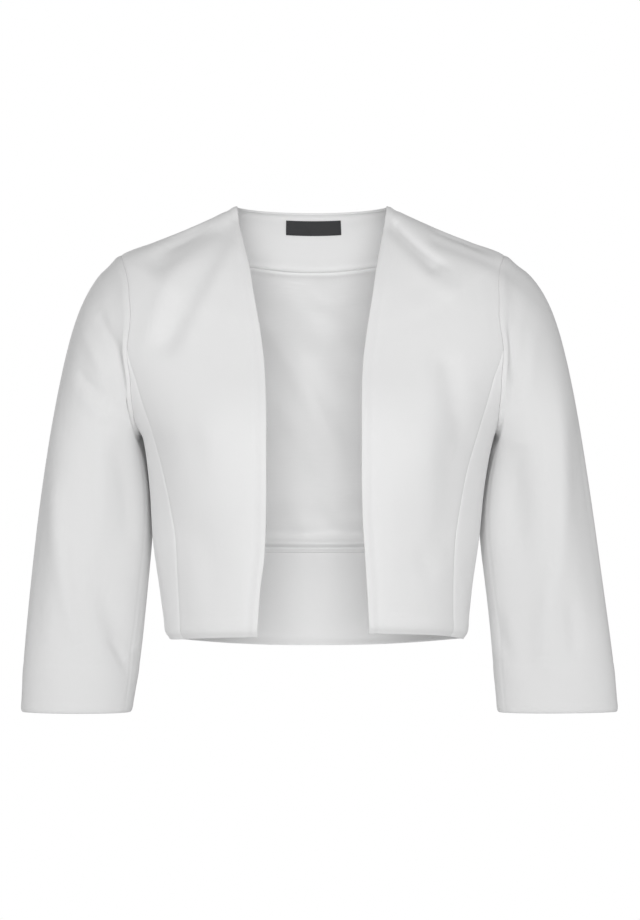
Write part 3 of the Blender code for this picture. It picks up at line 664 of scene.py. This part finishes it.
def add_mesh(name, points, faces, flat, finish):
    """A mesh from rows of points. flat is its cloth's own (width, length), kept as the UV map, so
    that the weave follows the cloth."""
    mesh = bpy.data.meshes.new(name)
    mesh.from_pydata(points.reshape(-1, 3).tolist(), [], [list(face) for face in faces])
    corner = np.empty(len(mesh.loops), dtype=np.int32)
    mesh.loops.foreach_get("vertex_index", corner)
    layer = mesh.uv_layers.new(name="cloth")
    layer.data.foreach_set("uv", flat.reshape(-1, 2)[corner].astype(np.float32).ravel())
    mesh.materials.append(finish)
    mesh.shade_smooth()
    mesh.update()
    piece = bpy.data.objects.new(name, mesh)
    bpy.context.scene.collection.objects.link(piece)
    return piece


def sew_in(piece, node):
    """Put a finished panel in the place of its solid, as a sheet of cloth with its own cut."""
    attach(piece, "root")
    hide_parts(node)


def closed_grid(rows, columns):
    """Faces of a thin shell: the outer grid, the inner grid turned over, and the rim between."""
    face, count = grid_faces(rows, columns), rows * columns
    row, column = outline_of(rows, columns)
    start = row * columns + column
    end = np.roll(start, -1)
    rim = np.stack([end, start, start + count, end + count], axis=-1)
    return np.concatenate([face, face[:, ::-1] + count, rim])


def half_wall(wall, distance, round_off):
    """Half of a shell's thickness at a distance from its nearest edge: a quarter round at the
    edge, then even."""
    share = np.clip(distance / round_off, 0, 1)
    return wall / 2 * np.maximum(np.sqrt(1 - (1 - share) ** 2), EDGE_WALL)


def panel(name, grid, side, edges, finish, depth=0.0, wall=None, extra=None):
    """A flat panel of the body as a thin closed shell. Its middle face lies depth and half its
    wall inside the body's surface, moved out by the creases and by the run of its edges. edges
    names the kind of its (lower, upper, first, last) edge, or None. extra(x, z, low) gives more
    height from the place in front view and the distance up from the lower edge."""
    sizes = bpy.context.scene.bolero_sizes
    wall = sizes.cloth if wall is None else wall
    angle, level = SIDES[side] * grid[0], grid[1]
    form = body_surface(angle, level, depth + wall / 2)
    across, up = running_length(form, 1), running_length(form, 0)
    distances = (up, up[-1:] - up, across, across[:, -1:] - across)
    x, z, forward = form[..., 0], form[..., 2], np.cos(angle)
    height = rise(forward / CREASE_FADE) * creases_at(x, z, FRONT_CREASES)
    height = height + rise(-forward / CREASE_FADE) * creases_at(x, z, BACK_CREASES)
    height = height * sizes.creases
    groove = np.zeros_like(height)
    for kind, distance in zip(edges, distances):
        if kind == "seam":
            groove = groove + bells(distance, EDGES[kind])
        elif kind:
            height = height + bells(distance, EDGES[kind])
    # Where two seams meet, their grooves don't add up: the corner lies level with its neighbours.
    height = height + np.maximum(groove, EDGES["seam"][0][0] * MM)
    if extra:
        height = height + extra(x, z, up)
    free = [distance for kind, distance in zip(edges, distances) if kind != "seam"]
    nearest = np.min(free, axis=0)
    half = half_wall(wall, nearest, sizes.round_off)
    normal = body_normal(angle, level)
    lift = HEM_LIFT[side] * rise(forward / LIFT_FADE) * rise(1 - up / HEM_LIFT_REACH)
    form = form + lift[..., None] * np.array([0, 0, 1])
    outer = form + (height + half)[..., None] * normal
    inner = form + (height - half)[..., None] * normal
    faces = closed_grid(*angle.shape)
    if side == "right":
        faces = faces[:, ::-1]
    flat = np.stack([across, up], axis=-1)
    return add_mesh(name, np.array([outer, inner]), faces, np.array([flat, flat]), finish)


def front_grid(side):
    """The centre front's (angle, level), from the opening's edge to the princess seam and the
    armhole, blended from its four edges."""
    rows, columns = GRIDS["front"]
    split = PRINCESS_LENGTH / (PRINCESS_LENGTH + ARMHOLE_FRONT_LENGTH)
    up = with_stop(crowded(rows), split)
    lower = by_length(lambda share: princess(side, share), side, up[up <= split] / split)
    turns = PRINCESS_TURN * (1 - (up[up > split] - split) / (1 - split))
    last = np.concatenate([lower, armhole(turns)], axis=1)
    first = by_length(lambda level: (seam_angle(FRONT_EDGE, side, level), level), side, up)
    across = crowded(columns)
    hem = np.array([first[0, 0] + (last[0, 0] - first[0, 0]) * across, 0 * across])

    def shoulder_seam(share):
        return np.full_like(share, np.pi / 2), 1 + (SHOULDER_LEVEL - 1) * share

    shoulder = by_length(shoulder_seam, side, across)
    return blend_patch(hem, shoulder, first, last, across, up)


def side_front_grid(side):
    """The side front's (angle, level). A row goes from the princess seam to the side seam or to
    the armhole, and the rows end at the point where those meet."""
    rows, columns = GRIDS["side_front"]
    up = with_stop(crowded(rows), BESIDE_ARMHOLE)
    inner = by_length(lambda share: princess(side, share), side, np.minimum(up, TIP_SHARE))
    beside = up <= BESIDE_ARMHOLE
    underarm = armhole(np.array([np.pi]))[1][0]
    levels = up[beside] / BESIDE_ARMHOLE * underarm
    seam = np.array([np.full_like(levels, np.pi / 2), levels])
    share = (up[~beside] - BESIDE_ARMHOLE) / (1 - BESIDE_ARMHOLE)
    turns = np.pi + (PRINCESS_TURN + TIP_TURN - np.pi) * share
    outer = np.concatenate([seam, armhole(turns)], axis=1)
    return inner[:, :, None] + (outer - inner)[:, :, None] * crowded(columns)


def back_grid(low, high, grid="back"):
    """The back's (angle, level) between two levels of its middle. A row starts and ends on the
    side seam, the armhole or the shoulder seam, and lies evenly from its neighbours inside."""
    rows, columns = GRIDS[grid]
    underarm = armhole(np.array([np.pi]))[1][0]
    marks = (0.0, LINING_LEVEL, underarm, SHOULDER_LEVEL, FACING_LEVEL, 1.0)
    middles = (0.0, LINING_LEVEL, *BACK_SPREAD, FACING_LEVEL, 1.0)
    inside = low + (high - low) * crowded(rows)
    for corner in BACK_SPREAD:
        if low < corner < high:
            inside = with_stop(inside, corner)
    inside = inside[:, None]
    edge = np.interp(inside, middles, marks)
    across = crowded(columns)
    level = inside + (edge - inside) * np.abs(2 * across - 1) ** EDGE_PULL
    angles, levels = armhole(np.linspace(np.pi, 2 * np.pi, ARMHOLE_POINTS))
    left = np.interp(edge, levels, angles, left=np.pi / 2, right=np.pi / 2)
    return np.array([left + (2 * np.pi - 2 * left) * across, level])


def lining_folds(x, z, low):
    """The lining's own height: soft folds towards the wearer and the pleat at its lower edge."""
    return -rise(low / LINING_CALM) * creases_at(x, z, LINING_CREASES) - bells(low, PLEAT)


def glide(rings, count):
    """More rings, on smooth curves through the given ones (cubic ones, by the way along)."""
    gap = np.linalg.norm(np.diff(rings, axis=0), axis=-1).mean(axis=1)
    station = np.concatenate([[0], np.cumsum(gap)])
    slope = np.gradient(rings.reshape(len(rings), -1), station, axis=0).reshape(rings.shape)
    at = station[-1] * crowded(count, SLEEVE_CROWD)
    i = np.clip(np.searchsorted(station, at, side="right") - 1, 0, len(gap) - 1)
    step, share = gap[i][:, None, None], ((at - station[i]) / gap[i])[:, None, None]
    return cubic(rings, slope, i, step, share)


def sleeve_rings(side, turn):
    """The sleeve's rings as in its solid: two beside the seam, then the plain sections, which
    take the armhole's shape near it and stay clear of the body."""
    point, outward, inwards, run = seam_frame(side, turn)
    shift = point - sleeve_section(side, np.zeros_like(turn), turn)
    fade_end = ARMHOLE_FADE * (FADE_MEAN + (1 - FADE_MEAN) * np.cos(turn))
    lower = (1 - np.cos(turn)) / 2
    steps = np.array([*SLEEVE_RINGS, 1 - SLEEVE_STRIP / SLEEVE_LENGTH, 1.0])
    along = steps[:, None]
    fade = np.clip(1 - along / fade_end, 0, 1) ** 2
    puff = UNDERARM_PUFF * lower * np.exp(-(((along - PUFF_PLACE) / PUFF_WIDTH) ** 2))
    tube = sleeve_section(side, along, turn) + fade[..., None] * shift + puff[..., None] * outward
    settled = np.clip((steps - SETTLE_START) / SETTLE_SPAN, 0, 1)[:, None]
    clearance = SLEEVE_CLEARANCE * (SEAM_CLEARANCE + (1 - SEAM_CLEARANCE) * settled)
    tube = clear_of_body(tube, clearance, side)
    leaving = tube[0] - point
    leaving = leaving - (leaving * run).sum(axis=-1, keepdims=True) * run
    tilt = np.arctan2((leaving * outward).sum(axis=-1), (leaving * inwards).sum(axis=-1))
    tilt = np.clip(tilt, 0, STEEPEST_LEAVE)[:, None]
    strip = point + SLEEVE_STRIP * (np.cos(tilt) * inwards + np.sin(tilt) * outward)
    rings = np.concatenate([point[None], strip[None], tube])
    front_share = np.clip(np.sin(turn) * FRONT_STEP, 0, 1)
    relief = front_share * folds_at(np.abs(rings[..., 0]), rings[..., 2], SLEEVE_FOLDS[side])
    relief = relief * np.concatenate([[[0], [0]], settled])
    rings = rings + relief[..., None] * tube_normal(rings, side)
    for _ in range(SLEEVE_SMOOTHINGS):
        rings[2:-2] = (rings[1:-3] + 2 * rings[2:-2] + rings[3:-1]) / 4
    return rings


def tube_normal(rings, side):
    """The outward direction of a tube of rings."""
    ahead = np.roll(rings, -1, axis=1) - np.roll(rings, 1, axis=1)
    return unit(np.cross(ahead, np.gradient(rings, axis=0))) * SIDES[side]


def sleeve_shell(name, side, finish):
    """A set-in sleeve as a thin tube. Over the solid's form it has the roll of the sleeve head,
    its creases, its own seam inside the arm and the turned-up hem of the cuff."""
    sizes = bpy.context.scene.bolero_sizes
    rows, columns = GRIDS["sleeve"]
    turn = np.linspace(0, 2 * np.pi, columns, endpoint=False)
    form = glide(sleeve_rings(side, turn), rows)
    down = running_length(form, 0)
    up = down[-1:] - down
    width = running_length(np.concatenate([form, form[:, :1]], axis=1), 1)
    x, z = np.abs(form[..., 0]), form[..., 2]
    creases = SLEEVE_CREASES[side]
    front = np.sin(turn) * FRONT_STEP
    height = rise(front) * creases_at(x, z, creases["front"])
    height = height + rise(-front) * creases_at(x, z, creases["back"])
    height = height * rise(down / CREASE_START) * SLEEVE_DEPTH * sizes.creases
    head = rise(0.5 + np.cos(turn - HEAD_TURN))
    height = height + head * bells(down, SLEEVE_HEAD) + bells(down, EDGES["seam"][:1])
    height = height + bells(up, CUFF)
    bunch = np.exp(-(((turn - BUNCH_TURN) / BUNCH_SPREAD) ** 2))
    height = height + bunch * bells(down, (BUNCH[side],))
    from_seam = (turn - CUFF_SEAM_TURN) * SLEEVE_RADIUS
    height = height + rise(down / SEAM_START) * bells(from_seam, (CUFF_SEAM,))
    half = half_wall(sizes.cloth, up, sizes.round_off)
    normal = tube_normal(form, side)
    middle = form - sizes.cloth / 2 * normal
    outer = middle + (height + half)[..., None] * normal
    inner = middle + (height - half)[..., None] * normal
    # The seam of the map: the first column is repeated at the end, in the same place.
    walls = np.array([outer, inner])
    wrap = np.concatenate([walls, walls[:, :, :1]], axis=2)
    rows, columns = wrap.shape[1:3]
    face, count = grid_faces(rows, columns), rows * columns
    top = np.arange(columns)
    cuff = top + count - columns
    rims = [
        np.stack([a, b, b + count, a + count], axis=-1)
        for a, b in ((top[1:], top[:-1]), (cuff[:-1], cuff[1:]))
    ]
    faces = np.concatenate([face, face[:, ::-1] + count, *rims])
    if side == "right":
        faces = faces[:, ::-1]
    flat = np.stack([width, np.concatenate([down, down[:, :1]], axis=1)], axis=-1)
    piece = add_mesh(name, wrap, faces, np.array([flat, flat]), finish)
    merge_doubles(piece)
    return piece


def stitches(name, starts, ends, outwards, thread, finish):
    """Threads, as slim ellipsoids from their starts to their ends, which stand out of the cloth
    along outwards (a unit vector each)."""
    rows, columns = shape = GRIDS["thread"]
    ends_at = 0.02  # the turn that is left open at a tip, before its cap
    turn, tip = np.meshgrid(
        np.linspace(0, 2 * np.pi, columns, endpoint=False),
        np.linspace(ends_at, np.pi - ends_at, rows),
    )
    run, middle = (ends - starts) / 2, (starts + ends) / 2
    sideways = unit(np.cross(run, outwards))
    points = (
        middle[:, None, None]
        - np.cos(tip)[..., None] * run[:, None, None]
        + thread * (np.sin(tip) * np.cos(turn))[..., None] * outwards[:, None, None]
        + thread * (np.sin(tip) * np.sin(turn))[..., None] * sideways[:, None, None]
    )
    index = np.arange(len(starts) * rows * columns).reshape(len(starts), *shape)
    beside = np.roll(index, -1, axis=2)
    face = np.stack([index[:, :-1], index[:, 1:], beside[:, 1:], beside[:, :-1]], axis=-1)
    caps = np.concatenate([index[:, 0], index[:, -1, ::-1]])
    flat = np.stack([turn * thread, tip * thread], axis=-1)
    flat = np.broadcast_to(flat, points[..., :2].shape)
    return add_mesh(name, points, [*face.reshape(-1, 4), *caps], flat, finish)


def merge_doubles(piece):
    """Join a tube's first and last column, which lie in the same place."""
    shell = bmesh.new()
    shell.from_mesh(piece.data)
    bmesh.ops.remove_doubles(shell, verts=shell.verts, dist=1e-6)
    shell.to_mesh(piece.data)
    shell.free()
    piece.data.shade_smooth()


def node(tree, kind, inputs=None, **settings):
    """A shader node with its settings and its inputs, each a value or another node's output."""
    made = tree.nodes.new(kind)
    for key, value in settings.items():
        setattr(made, key, value)
    for key, value in (inputs or {}).items():
        if isinstance(value, bpy.types.NodeSocket):
            tree.links.new(value, made.inputs[key])
        else:
            made.inputs[key].default_value = value
    return made


def new_finish(name, roughness, sheen, sheen_roughness, specular=0.3):
    """A Principled material with its constants set; returns it with its tree and shader."""
    made = bpy.data.materials.new(name)
    made.use_nodes = True
    shader = made.node_tree.nodes["Principled BSDF"]
    shader.inputs["Roughness"].default_value = roughness
    shader.inputs["Sheen Weight"].default_value = sheen
    shader.inputs["Sheen Roughness"].default_value = sheen_roughness
    shader.inputs["Specular IOR Level"].default_value = specular
    return made, made.node_tree, shader


def two_tone(tree, shader, colour, spread, share):
    """Give a shader a colour that varies a little, darker by spread where share is 0."""
    dark = [channel * (1 - spread) for channel in colour]
    mixed = node(tree, "ShaderNodeMix", data_type="RGBA")
    mixed.inputs[6].default_value = (*dark, 1)
    mixed.inputs[7].default_value = (*colour, 1)
    tree.links.new(share, mixed.inputs["Factor"])
    tree.links.new(mixed.outputs[2], shader.inputs["Base Color"])


def threads(tree, spacing, direction, wander):
    """Even threads across the cloth's own map, as a wave with the given spacing in metres. A
    wave texture of scale s has its bands pi / (10 s) apart."""
    place = node(tree, "ShaderNodeUVMap", uv_map="cloth").outputs["UV"]
    inputs = {
        "Vector": place, "Scale": np.pi / (10 * spacing), "Distortion": wander, "Detail": 1.0,
    }
    return node(
        tree, "ShaderNodeTexWave", inputs, wave_type="BANDS", bands_direction=direction
    ).outputs["Fac"]


def place_in(tree):
    """The place on the object, in metres."""
    return node(tree, "ShaderNodeTexCoord").outputs["Object"]


def noise(tree, place, scale, roughness=0.5, distortion=0.0):
    """Cloudy noise from 0 to 1, scale clouds to the metre."""
    inputs = {"Vector": place, "Scale": scale, "Roughness": roughness, "Distortion": distortion}
    return node(tree, "ShaderNodeTexNoise", inputs).outputs["Fac"]


def combined(tree, operation, first, second):
    return node(tree, "ShaderNodeMath", {0: first, 1: second}, operation=operation).outputs[0]


def bumped(tree, height, strength, distance, **normal):
    """The bumped normal of a height, on top of another bumped one where Normal is given."""
    inputs = {"Height": height, "Strength": strength, "Distance": distance, **normal}
    return node(tree, "ShaderNodeBump", inputs).outputs["Normal"]


def crepe_finish(name, colour):
    """Fused crepe: a fine pebble of hard-twisted yarn over a faint plain weave, with very soft
    unevenness about 25 mm wide, matt with a little nap."""
    made, tree, shader = new_finish(name, roughness=0.82, sheen=0.18, sheen_roughness=0.45)
    place = place_in(tree)
    pebble = noise(tree, place, 1350.0, roughness=0.62, distortion=0.8)
    cloud = noise(tree, place, 38.0)
    warp = threads(tree, 0.00055, "X", wander=0.6)
    weft = threads(tree, 0.00062, "Y", wander=0.6)
    grain = combined(tree, "ADD", pebble, combined(tree, "MULTIPLY", warp, weft))
    soft = bumped(tree, cloud, strength=0.35, distance=0.0012)
    fine = bumped(tree, grain, strength=0.30, distance=0.00012, Normal=soft)
    tree.links.new(fine, shader.inputs["Normal"])
    two_tone(tree, shader, colour, spread=0.035, share=pebble)
    return made


def satin_finish(name, colour):
    """Lining satin: smooth close threads with long floats, a soft gloss and faint slubs."""
    made, tree, shader = new_finish(
        name, roughness=0.42, sheen=0.10, sheen_roughness=0.30, specular=0.5
    )
    inputs = {"Vector": place_in(tree), "Scale": (60.0, 60.0, 900.0)}
    slub = noise(tree, node(tree, "ShaderNodeMapping", inputs).outputs["Vector"], 1.0)
    grain = combined(tree, "ADD", slub, threads(tree, 0.00032, "X", wander=0.2))
    fine = bumped(tree, grain, strength=0.18, distance=0.00006)
    tree.links.new(fine, shader.inputs["Normal"])
    two_tone(tree, shader, colour, spread=0.03, share=slub)
    return made


def label_finish(name, colour):
    """A woven ribbon: dark ribs across its width over fine lengthwise threads."""
    made, tree, shader = new_finish(name, roughness=0.55, sheen=0.35, sheen_roughness=0.35)
    ribs = threads(tree, 0.00042, "Y", wander=0.1)
    grain = combined(tree, "ADD", ribs, threads(tree, 0.00030, "X", wander=0.1))
    fine = bumped(tree, grain, strength=0.5, distance=0.0001)
    tree.links.new(fine, shader.inputs["Normal"])
    two_tone(tree, shader, colour, spread=0.25, share=ribs)
    return made


def floor_finish(name, colour):
    """Pale, even studio floor with the faintest mottling."""
    made, tree, shader = new_finish(name, roughness=0.9, sheen=0.0, sheen_roughness=0.5)
    two_tone(tree, shader, colour, spread=0.02, share=noise(tree, place_in(tree), 3.0))
    return made


# The maker of each finish and the property that holds its colour.
FINISHES = {
    "crepe_cloth": (crepe_finish, "crepe"),
    # The side fronts' and the neck facing's crepe carry painted light and the sleeves' crepe
    # painted shade; all three are the outer crepe.
    "crepe_side": (crepe_finish, "side"),
    "crepe_sleeve": (crepe_finish, "sleeve"),
    "crepe_facing": (crepe_finish, "facing"),
    "lining_satin_cloth": (satin_finish, "lining"),
    "label_ribbon": (label_finish, "label"),
    "studio_floor": (floor_finish, "floor"),
}


def finish_named(name):
    """A finish by its name, made the first time that it is asked for."""
    found = bpy.data.materials.get(name)
    if found:
        return found
    maker, colour = FINISHES[name]
    return maker(name, tuple(getattr(bpy.context.scene.bolero_colours, colour)))


def sew_panel(node, grid, side, edges, finish, slot, rests_on, **layer):
    """Make a panel and put it in the place of its solid."""
    piece = panel(f"{node}_cloth", grid, side, edges, finish_named(finish), **layer)
    sew_in(piece, node)


def length_field(name, description, default, low, high):
    """A property that holds a length, in metres."""
    return FloatProperty(
        name=name, description=description, default=default, min=low, max=high, unit="LENGTH",
        precision=5,
    )


def colour_field(name, description, default):
    """A property that holds a colour, as linear light."""
    return FloatVectorProperty(
        name=name, description=description, default=default, size=3, min=0, max=1, subtype="COLOR"
    )


def power_field(name, description, default):
    """A property that holds the power of a light, in watts."""
    return FloatProperty(
        name=name, description=description, default=default, min=0, max=2000, unit="POWER"
    )


class BoleroSizes(bpy.types.PropertyGroup):
    """Sizes of the cloth that a user would change."""

    cloth: length_field(
        "Cloth", "Thickness of the fused outer cloth", 1.8 * MM, 0.5 * MM, 3 * MM
    )
    inner_cloth: length_field(
        "Inner cloth", "Thickness of the lining, the facings and the label",
        0.9 * MM, 0.3 * MM, 2 * MM,
    )
    layer_gap: length_field(
        "Layer gap", "Room between a panel and what lies on its inside",
        0.35 * MM, 0.1 * MM, 2 * MM,
    )
    round_off: length_field(
        "Edge rounding", "How far in from an edge the cloth is rounded off",
        1.1 * MM, 0.2 * MM, 3 * MM,
    )
    creases: FloatProperty(
        name="Creases", description="Depth of the fine creases, as a share of the tables' depth",
        default=1, min=0, max=2, subtype="FACTOR",
    )


class BoleroColours(bpy.types.PropertyGroup):
    """Colours of the finishes. The side fronts, the sleeves and the neck facing are the outer
    crepe; their tones differ from its colour only as painted light and shade, the side fronts and
    the neck facing painted lighter, the sleeves painted darker."""

    crepe: colour_field("Crepe", "Colour of the outer cloth", (0.815,) * 3)
    # Painted light: the side fronts are the outer crepe, painted lighter where the sleeves shade
    # them.
    side: colour_field("Side fronts", "Colour of the side fronts, as pictured", (0.92,) * 3)
    # Painted shade: the sleeves are the outer crepe, painted darker where they turn away from the
    # light.
    sleeve: colour_field("Sleeves", "Colour of the sleeves, as pictured", (0.755,) * 3)
    # Painted light: the neck facing is the outer crepe, painted lighter where the hollow inside
    # the back is shaded.
    facing: colour_field("Neck facing", "Colour of the neck facing, as pictured", (0.92,) * 3)
    lining: colour_field("Lining", "Colour of the satin lining", (0.83,) * 3)
    label: colour_field("Label", "Colour of the bare woven label", (0.055, 0.055, 0.058))
    floor: colour_field("Floor", "Colour of the studio floor", (0.74,) * 3)


class BoleroStudio(bpy.types.PropertyGroup):
    """The camera and the light."""

    distance: length_field(
        "Distance", "Camera's distance from the shoulder seams' plane", 4.0, 1.0, 10.0
    )
    lens: FloatProperty(
        name="Focal length", description="Camera's focal length in millimetres",
        default=153.45, min=20, max=400, unit="CAMERA",
    )
    surround: FloatProperty(
        name="Surround", description="Strength of the even light from all round",
        default=0.30, min=0, max=3, subtype="FACTOR",
    )
    key: power_field("Key light", "Power of the large soft light behind the camera", 113)
    fill: power_field("Fill light", "Power of the soft light at the camera's height", 31)
    back: power_field("Back light", "Power of the soft light behind the jacket", 75)
    rear: power_field("Rear lights", "Power of each soft light beside and behind the jacket", 14)


class BOLERO_OT_fronts(bpy.types.Operator):
    """Sew the two centre fronts, with their rolled opening edges and hems"""

    bl_idname = "bolero.fronts"
    bl_label = "Fronts"

    def execute(self, context):
        for side in SIDES:
            sew_panel(
                f"front_{side}", front_grid(side), side, ("hem", "seam", "opening", "seam"),
                "crepe_cloth", "shell_fabric", ["back", f"sleeve_{side}"],
            )
        return {"FINISHED"}


class BOLERO_OT_side_fronts(bpy.types.Operator):
    """Sew the two side fronts between the princess seams and the side seams"""

    bl_idname = "bolero.side_fronts"
    bl_label = "Side fronts"

    def execute(self, context):
        for side in SIDES:
            sew_panel(
                # The side fronts' crepe is painted lighter than the outer cloth: painted light.
                f"side_front_{side}", side_front_grid(side), side, ("hem", None, "seam", "seam"),
                "crepe_side", "shell_fabric", [f"front_{side}", "back"],
            )
        return {"FINISHED"}


class BOLERO_OT_back(bpy.types.Operator):
    """Sew the back, from side seam to side seam and up to the neckline"""

    bl_idname = "bolero.back"
    bl_label = "Back"

    def execute(self, context):
        sew_panel(
            "back", back_grid(0, 1), "left", ("hem", "neck", "seam", "seam"),
            "crepe_cloth", "shell_fabric", ["front_left", "front_right"],
        )
        return {"FINISHED"}


class BOLERO_OT_sleeves(bpy.types.Operator):
    """Set in the two three-quarter sleeves"""

    bl_idname = "bolero.sleeves"
    bl_label = "Sleeves"

    def execute(self, context):
        for side in SIDES:
            # The sleeves' crepe is painted darker than the outer cloth: painted shade.
            piece = sleeve_shell(f"sleeve_{side}_cloth", side, finish_named("crepe_sleeve"))
            sew_in(piece, f"sleeve_{side}")
        return {"FINISHED"}


class BOLERO_OT_lining(bpy.types.Operator):
    """Hang the satin lining inside the back, with its small pleat over the hem facing"""

    bl_idname = "bolero.lining"
    bl_label = "Back lining"

    def execute(self, context):
        sizes = context.scene.bolero_sizes
        sew_panel(
            "lining_back", back_grid(LINING_LEVEL, FACING_LEVEL), "left",
            (None, "inside", None, None), "lining_satin_cloth", "lining_satin",
            ["neck_facing", "hem_facing"],
            depth=sizes.cloth + sizes.layer_gap, wall=sizes.inner_cloth, extra=lining_folds,
        )
        return {"FINISHED"}


class BOLERO_OT_facings(bpy.types.Operator):
    """Sew the neck facing and the deep hem facing inside the back"""

    bl_idname = "bolero.facings"
    bl_label = "Facings"

    def execute(self, context):
        sizes = context.scene.bolero_sizes
        facings = {
            # The neck facing's crepe is painted lighter than the outer cloth: painted light.
            "neck_facing": (FACING_LEVEL, 1.0, ("inside", "neck", None, None), "crepe_facing"),
            "hem_facing": (0.0, LINING_LEVEL, ("hem", None, None, None), "crepe_cloth"),
        }
        for name, (low, high, edges, finish) in facings.items():
            sew_panel(
                name, back_grid(low, high, "facing"), "left", edges, finish, "shell_fabric",
                ["back"], depth=sizes.cloth + sizes.layer_gap, wall=sizes.inner_cloth,
            )
        return {"FINISHED"}


class BOLERO_OT_label(bpy.types.Operator):
    """Sew the bare woven label on the neck facing"""

    bl_idname = "bolero.label"
    bl_label = "Label"

    def execute(self, context):
        sizes = context.scene.bolero_sizes
        rows, columns = GRIDS["label"]
        low, high = LABEL_LEVELS
        x, level = np.meshgrid(
            LABEL_WIDTH * (crowded(columns, LABEL_CROWD) - 0.5),
            low + (high - low) * crowded(rows, LABEL_CROWD),
        )
        n = body("squareness", level)
        share = -x / body("right_x", level)
        angle = np.pi - np.arctan2(share, (1 - np.abs(share) ** n) ** (1 / n))
        depth = sizes.cloth + 2 * sizes.layer_gap + sizes.inner_cloth
        sew_panel(
            "label", np.array([angle, level]), "left", (None, None, None, None), "label_ribbon",
            "label_woven", ["neck_facing"], depth=depth, wall=sizes.inner_cloth,
        )
        # A column of short threads over each end of the label, as sewn by hand.
        ends = []
        for column in STITCH_COLUMNS:
            edge = np.array([angle, level])[:, :, column]
            at = np.linspace(1, edge.shape[1] - 2, 2 * LABEL_STITCHES)
            spots = np.array([np.interp(at, np.arange(edge.shape[1]), row) for row in edge])
            place = body_surface(*spots, depth + sizes.inner_cloth)
            ends.append((place[::2], place[1::2], -body_normal(*spots)[::2]))
        starts, stops, outwards = (np.concatenate(part) for part in zip(*ends))
        sewn = stitches(
            "label_stitches", starts, stops, outwards, LABEL_THREAD, finish_named("label_ribbon")
        )
        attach(sewn, "root")
        return {"FINISHED"}


class BOLERO_OT_studio(bpy.types.Operator):
    """Set the camera, the pale floor and the soft light"""

    bl_idname = "bolero.studio"
    bl_label = "Studio"

    def execute(self, context):
        studio = context.scene.bolero_studio
        add_camera(context, studio)
        add_floor()
        light_surround(context.scene, studio.surround)
        for name, (place, size, power) in LIGHTS.items():
            add_soft_light(name, place, size, getattr(studio, power))
        return {"FINISHED"}


def add_camera(context, studio):
    """A level camera in front of the jacket, as far off as the pictured perspective says."""
    camera = bpy.data.objects.new("photo_camera", bpy.data.cameras.new("photo_camera"))
    camera.data.lens = studio.lens
    camera.data.sensor_width = SENSOR
    camera.data.clip_end = FAR
    camera.location = (CAMERA_X, -studio.distance, CAMERA_Z)
    camera.rotation_euler = (np.pi / 2, 0, 0)
    context.scene.collection.objects.link(camera)
    context.scene.camera = camera


def add_floor():
    """A round pale floor well below the jacket: rings of points about one centre."""
    rows, columns = GRIDS["floor"]
    ring, turn = np.meshgrid(
        np.geomspace(FLOOR_INNER, FLOOR_OUTER, rows),
        np.linspace(0, 2 * np.pi, columns, endpoint=False),
    )
    level = np.full_like(ring, FLOOR_Z)
    points = np.stack([ring * np.cos(turn), ring * np.sin(turn), level], axis=-1)
    points = np.concatenate([points, points[:1]]).transpose(1, 0, 2)
    faces = grid_faces(*points.shape[:2])[:, [1, 0, 3, 2]]
    floor = add_mesh("studio_floor", points, faces, points[..., :2], finish_named("studio_floor"))


def light_surround(scene, strength):
    """White all round for the eye, and an even light of the given strength on the cloth."""
    world = bpy.data.worlds.new("studio_world")
    world.use_nodes = True
    scene.world = world
    tree = world.node_tree
    seen = node(tree, "ShaderNodeLightPath").outputs["Is Camera Ray"]
    share = node(
        tree, "ShaderNodeMapRange", {"Value": seen, "To Min": strength, "To Max": 1.0}
    ).outputs["Result"]
    background = tree.nodes["Background"]
    background.inputs["Color"].default_value = (1, 1, 1, 1)
    tree.links.new(share, background.inputs["Strength"])
    scene.view_settings.view_transform = "Standard"


def add_soft_light(name, place, size, power):
    """A large square light that looks at the jacket's middle."""
    lamp = bpy.data.lights.new(name, "AREA")
    lamp.size = size
    lamp.energy = power
    light = bpy.data.objects.new(name, lamp)
    light.location = place
    aim = mathutils.Vector(LIGHTS_AIM) - light.location
    light.rotation_euler = aim.to_track_quat("-Z", "Y").to_euler()
    light.visible_camera = False
    bpy.context.scene.collection.objects.link(light)


OPERATORS = (
    BOLERO_OT_fronts, BOLERO_OT_side_fronts, BOLERO_OT_back, BOLERO_OT_sleeves, BOLERO_OT_lining,
    BOLERO_OT_facings, BOLERO_OT_label, BOLERO_OT_studio,
)
GROUPS = {
    "bolero_sizes": BoleroSizes, "bolero_colours": BoleroColours, "bolero_studio": BoleroStudio,
}


class BOLERO_PT_jacket(bpy.types.Panel):
    """The jacket's pieces, sizes and colours"""

    bl_idname = "BOLERO_PT_jacket"
    bl_label = "Bolero jacket"
    bl_space_type = "VIEW_3D"
    bl_region_type = "UI"
    bl_category = "Bolero"

    def draw(self, context):
        for operator in OPERATORS:
            self.layout.operator(operator.bl_idname)
        for name, group in GROUPS.items():
            box = self.layout.box()
            for field in group.__annotations__:
                box.prop(getattr(context.scene, name), field)


def register():
    for group in GROUPS.values():
        bpy.utils.register_class(group)
    for name, group in GROUPS.items():
        setattr(bpy.types.Scene, name, PointerProperty(type=group))
    for kind in (*OPERATORS, BOLERO_PT_jacket):
        bpy.utils.register_class(kind)


def unregister():
    for kind in (BOLERO_PT_jacket, *reversed(OPERATORS)):
        bpy.utils.unregister_class(kind)
    for name in GROUPS:
        delattr(bpy.types.Scene, name)
    for group in reversed(GROUPS.values()):
        bpy.utils.unregister_class(group)


def main():
    """Make every piece in order."""
    register()
    bpy.ops.bolero.fronts()
    bpy.ops.bolero.side_fronts()
    bpy.ops.bolero.back()
    bpy.ops.bolero.sleeves()
    bpy.ops.bolero.lining()
    bpy.ops.bolero.facings()
    bpy.ops.bolero.label()
    bpy.ops.bolero.studio()


if __name__ == "__main__":
    main()
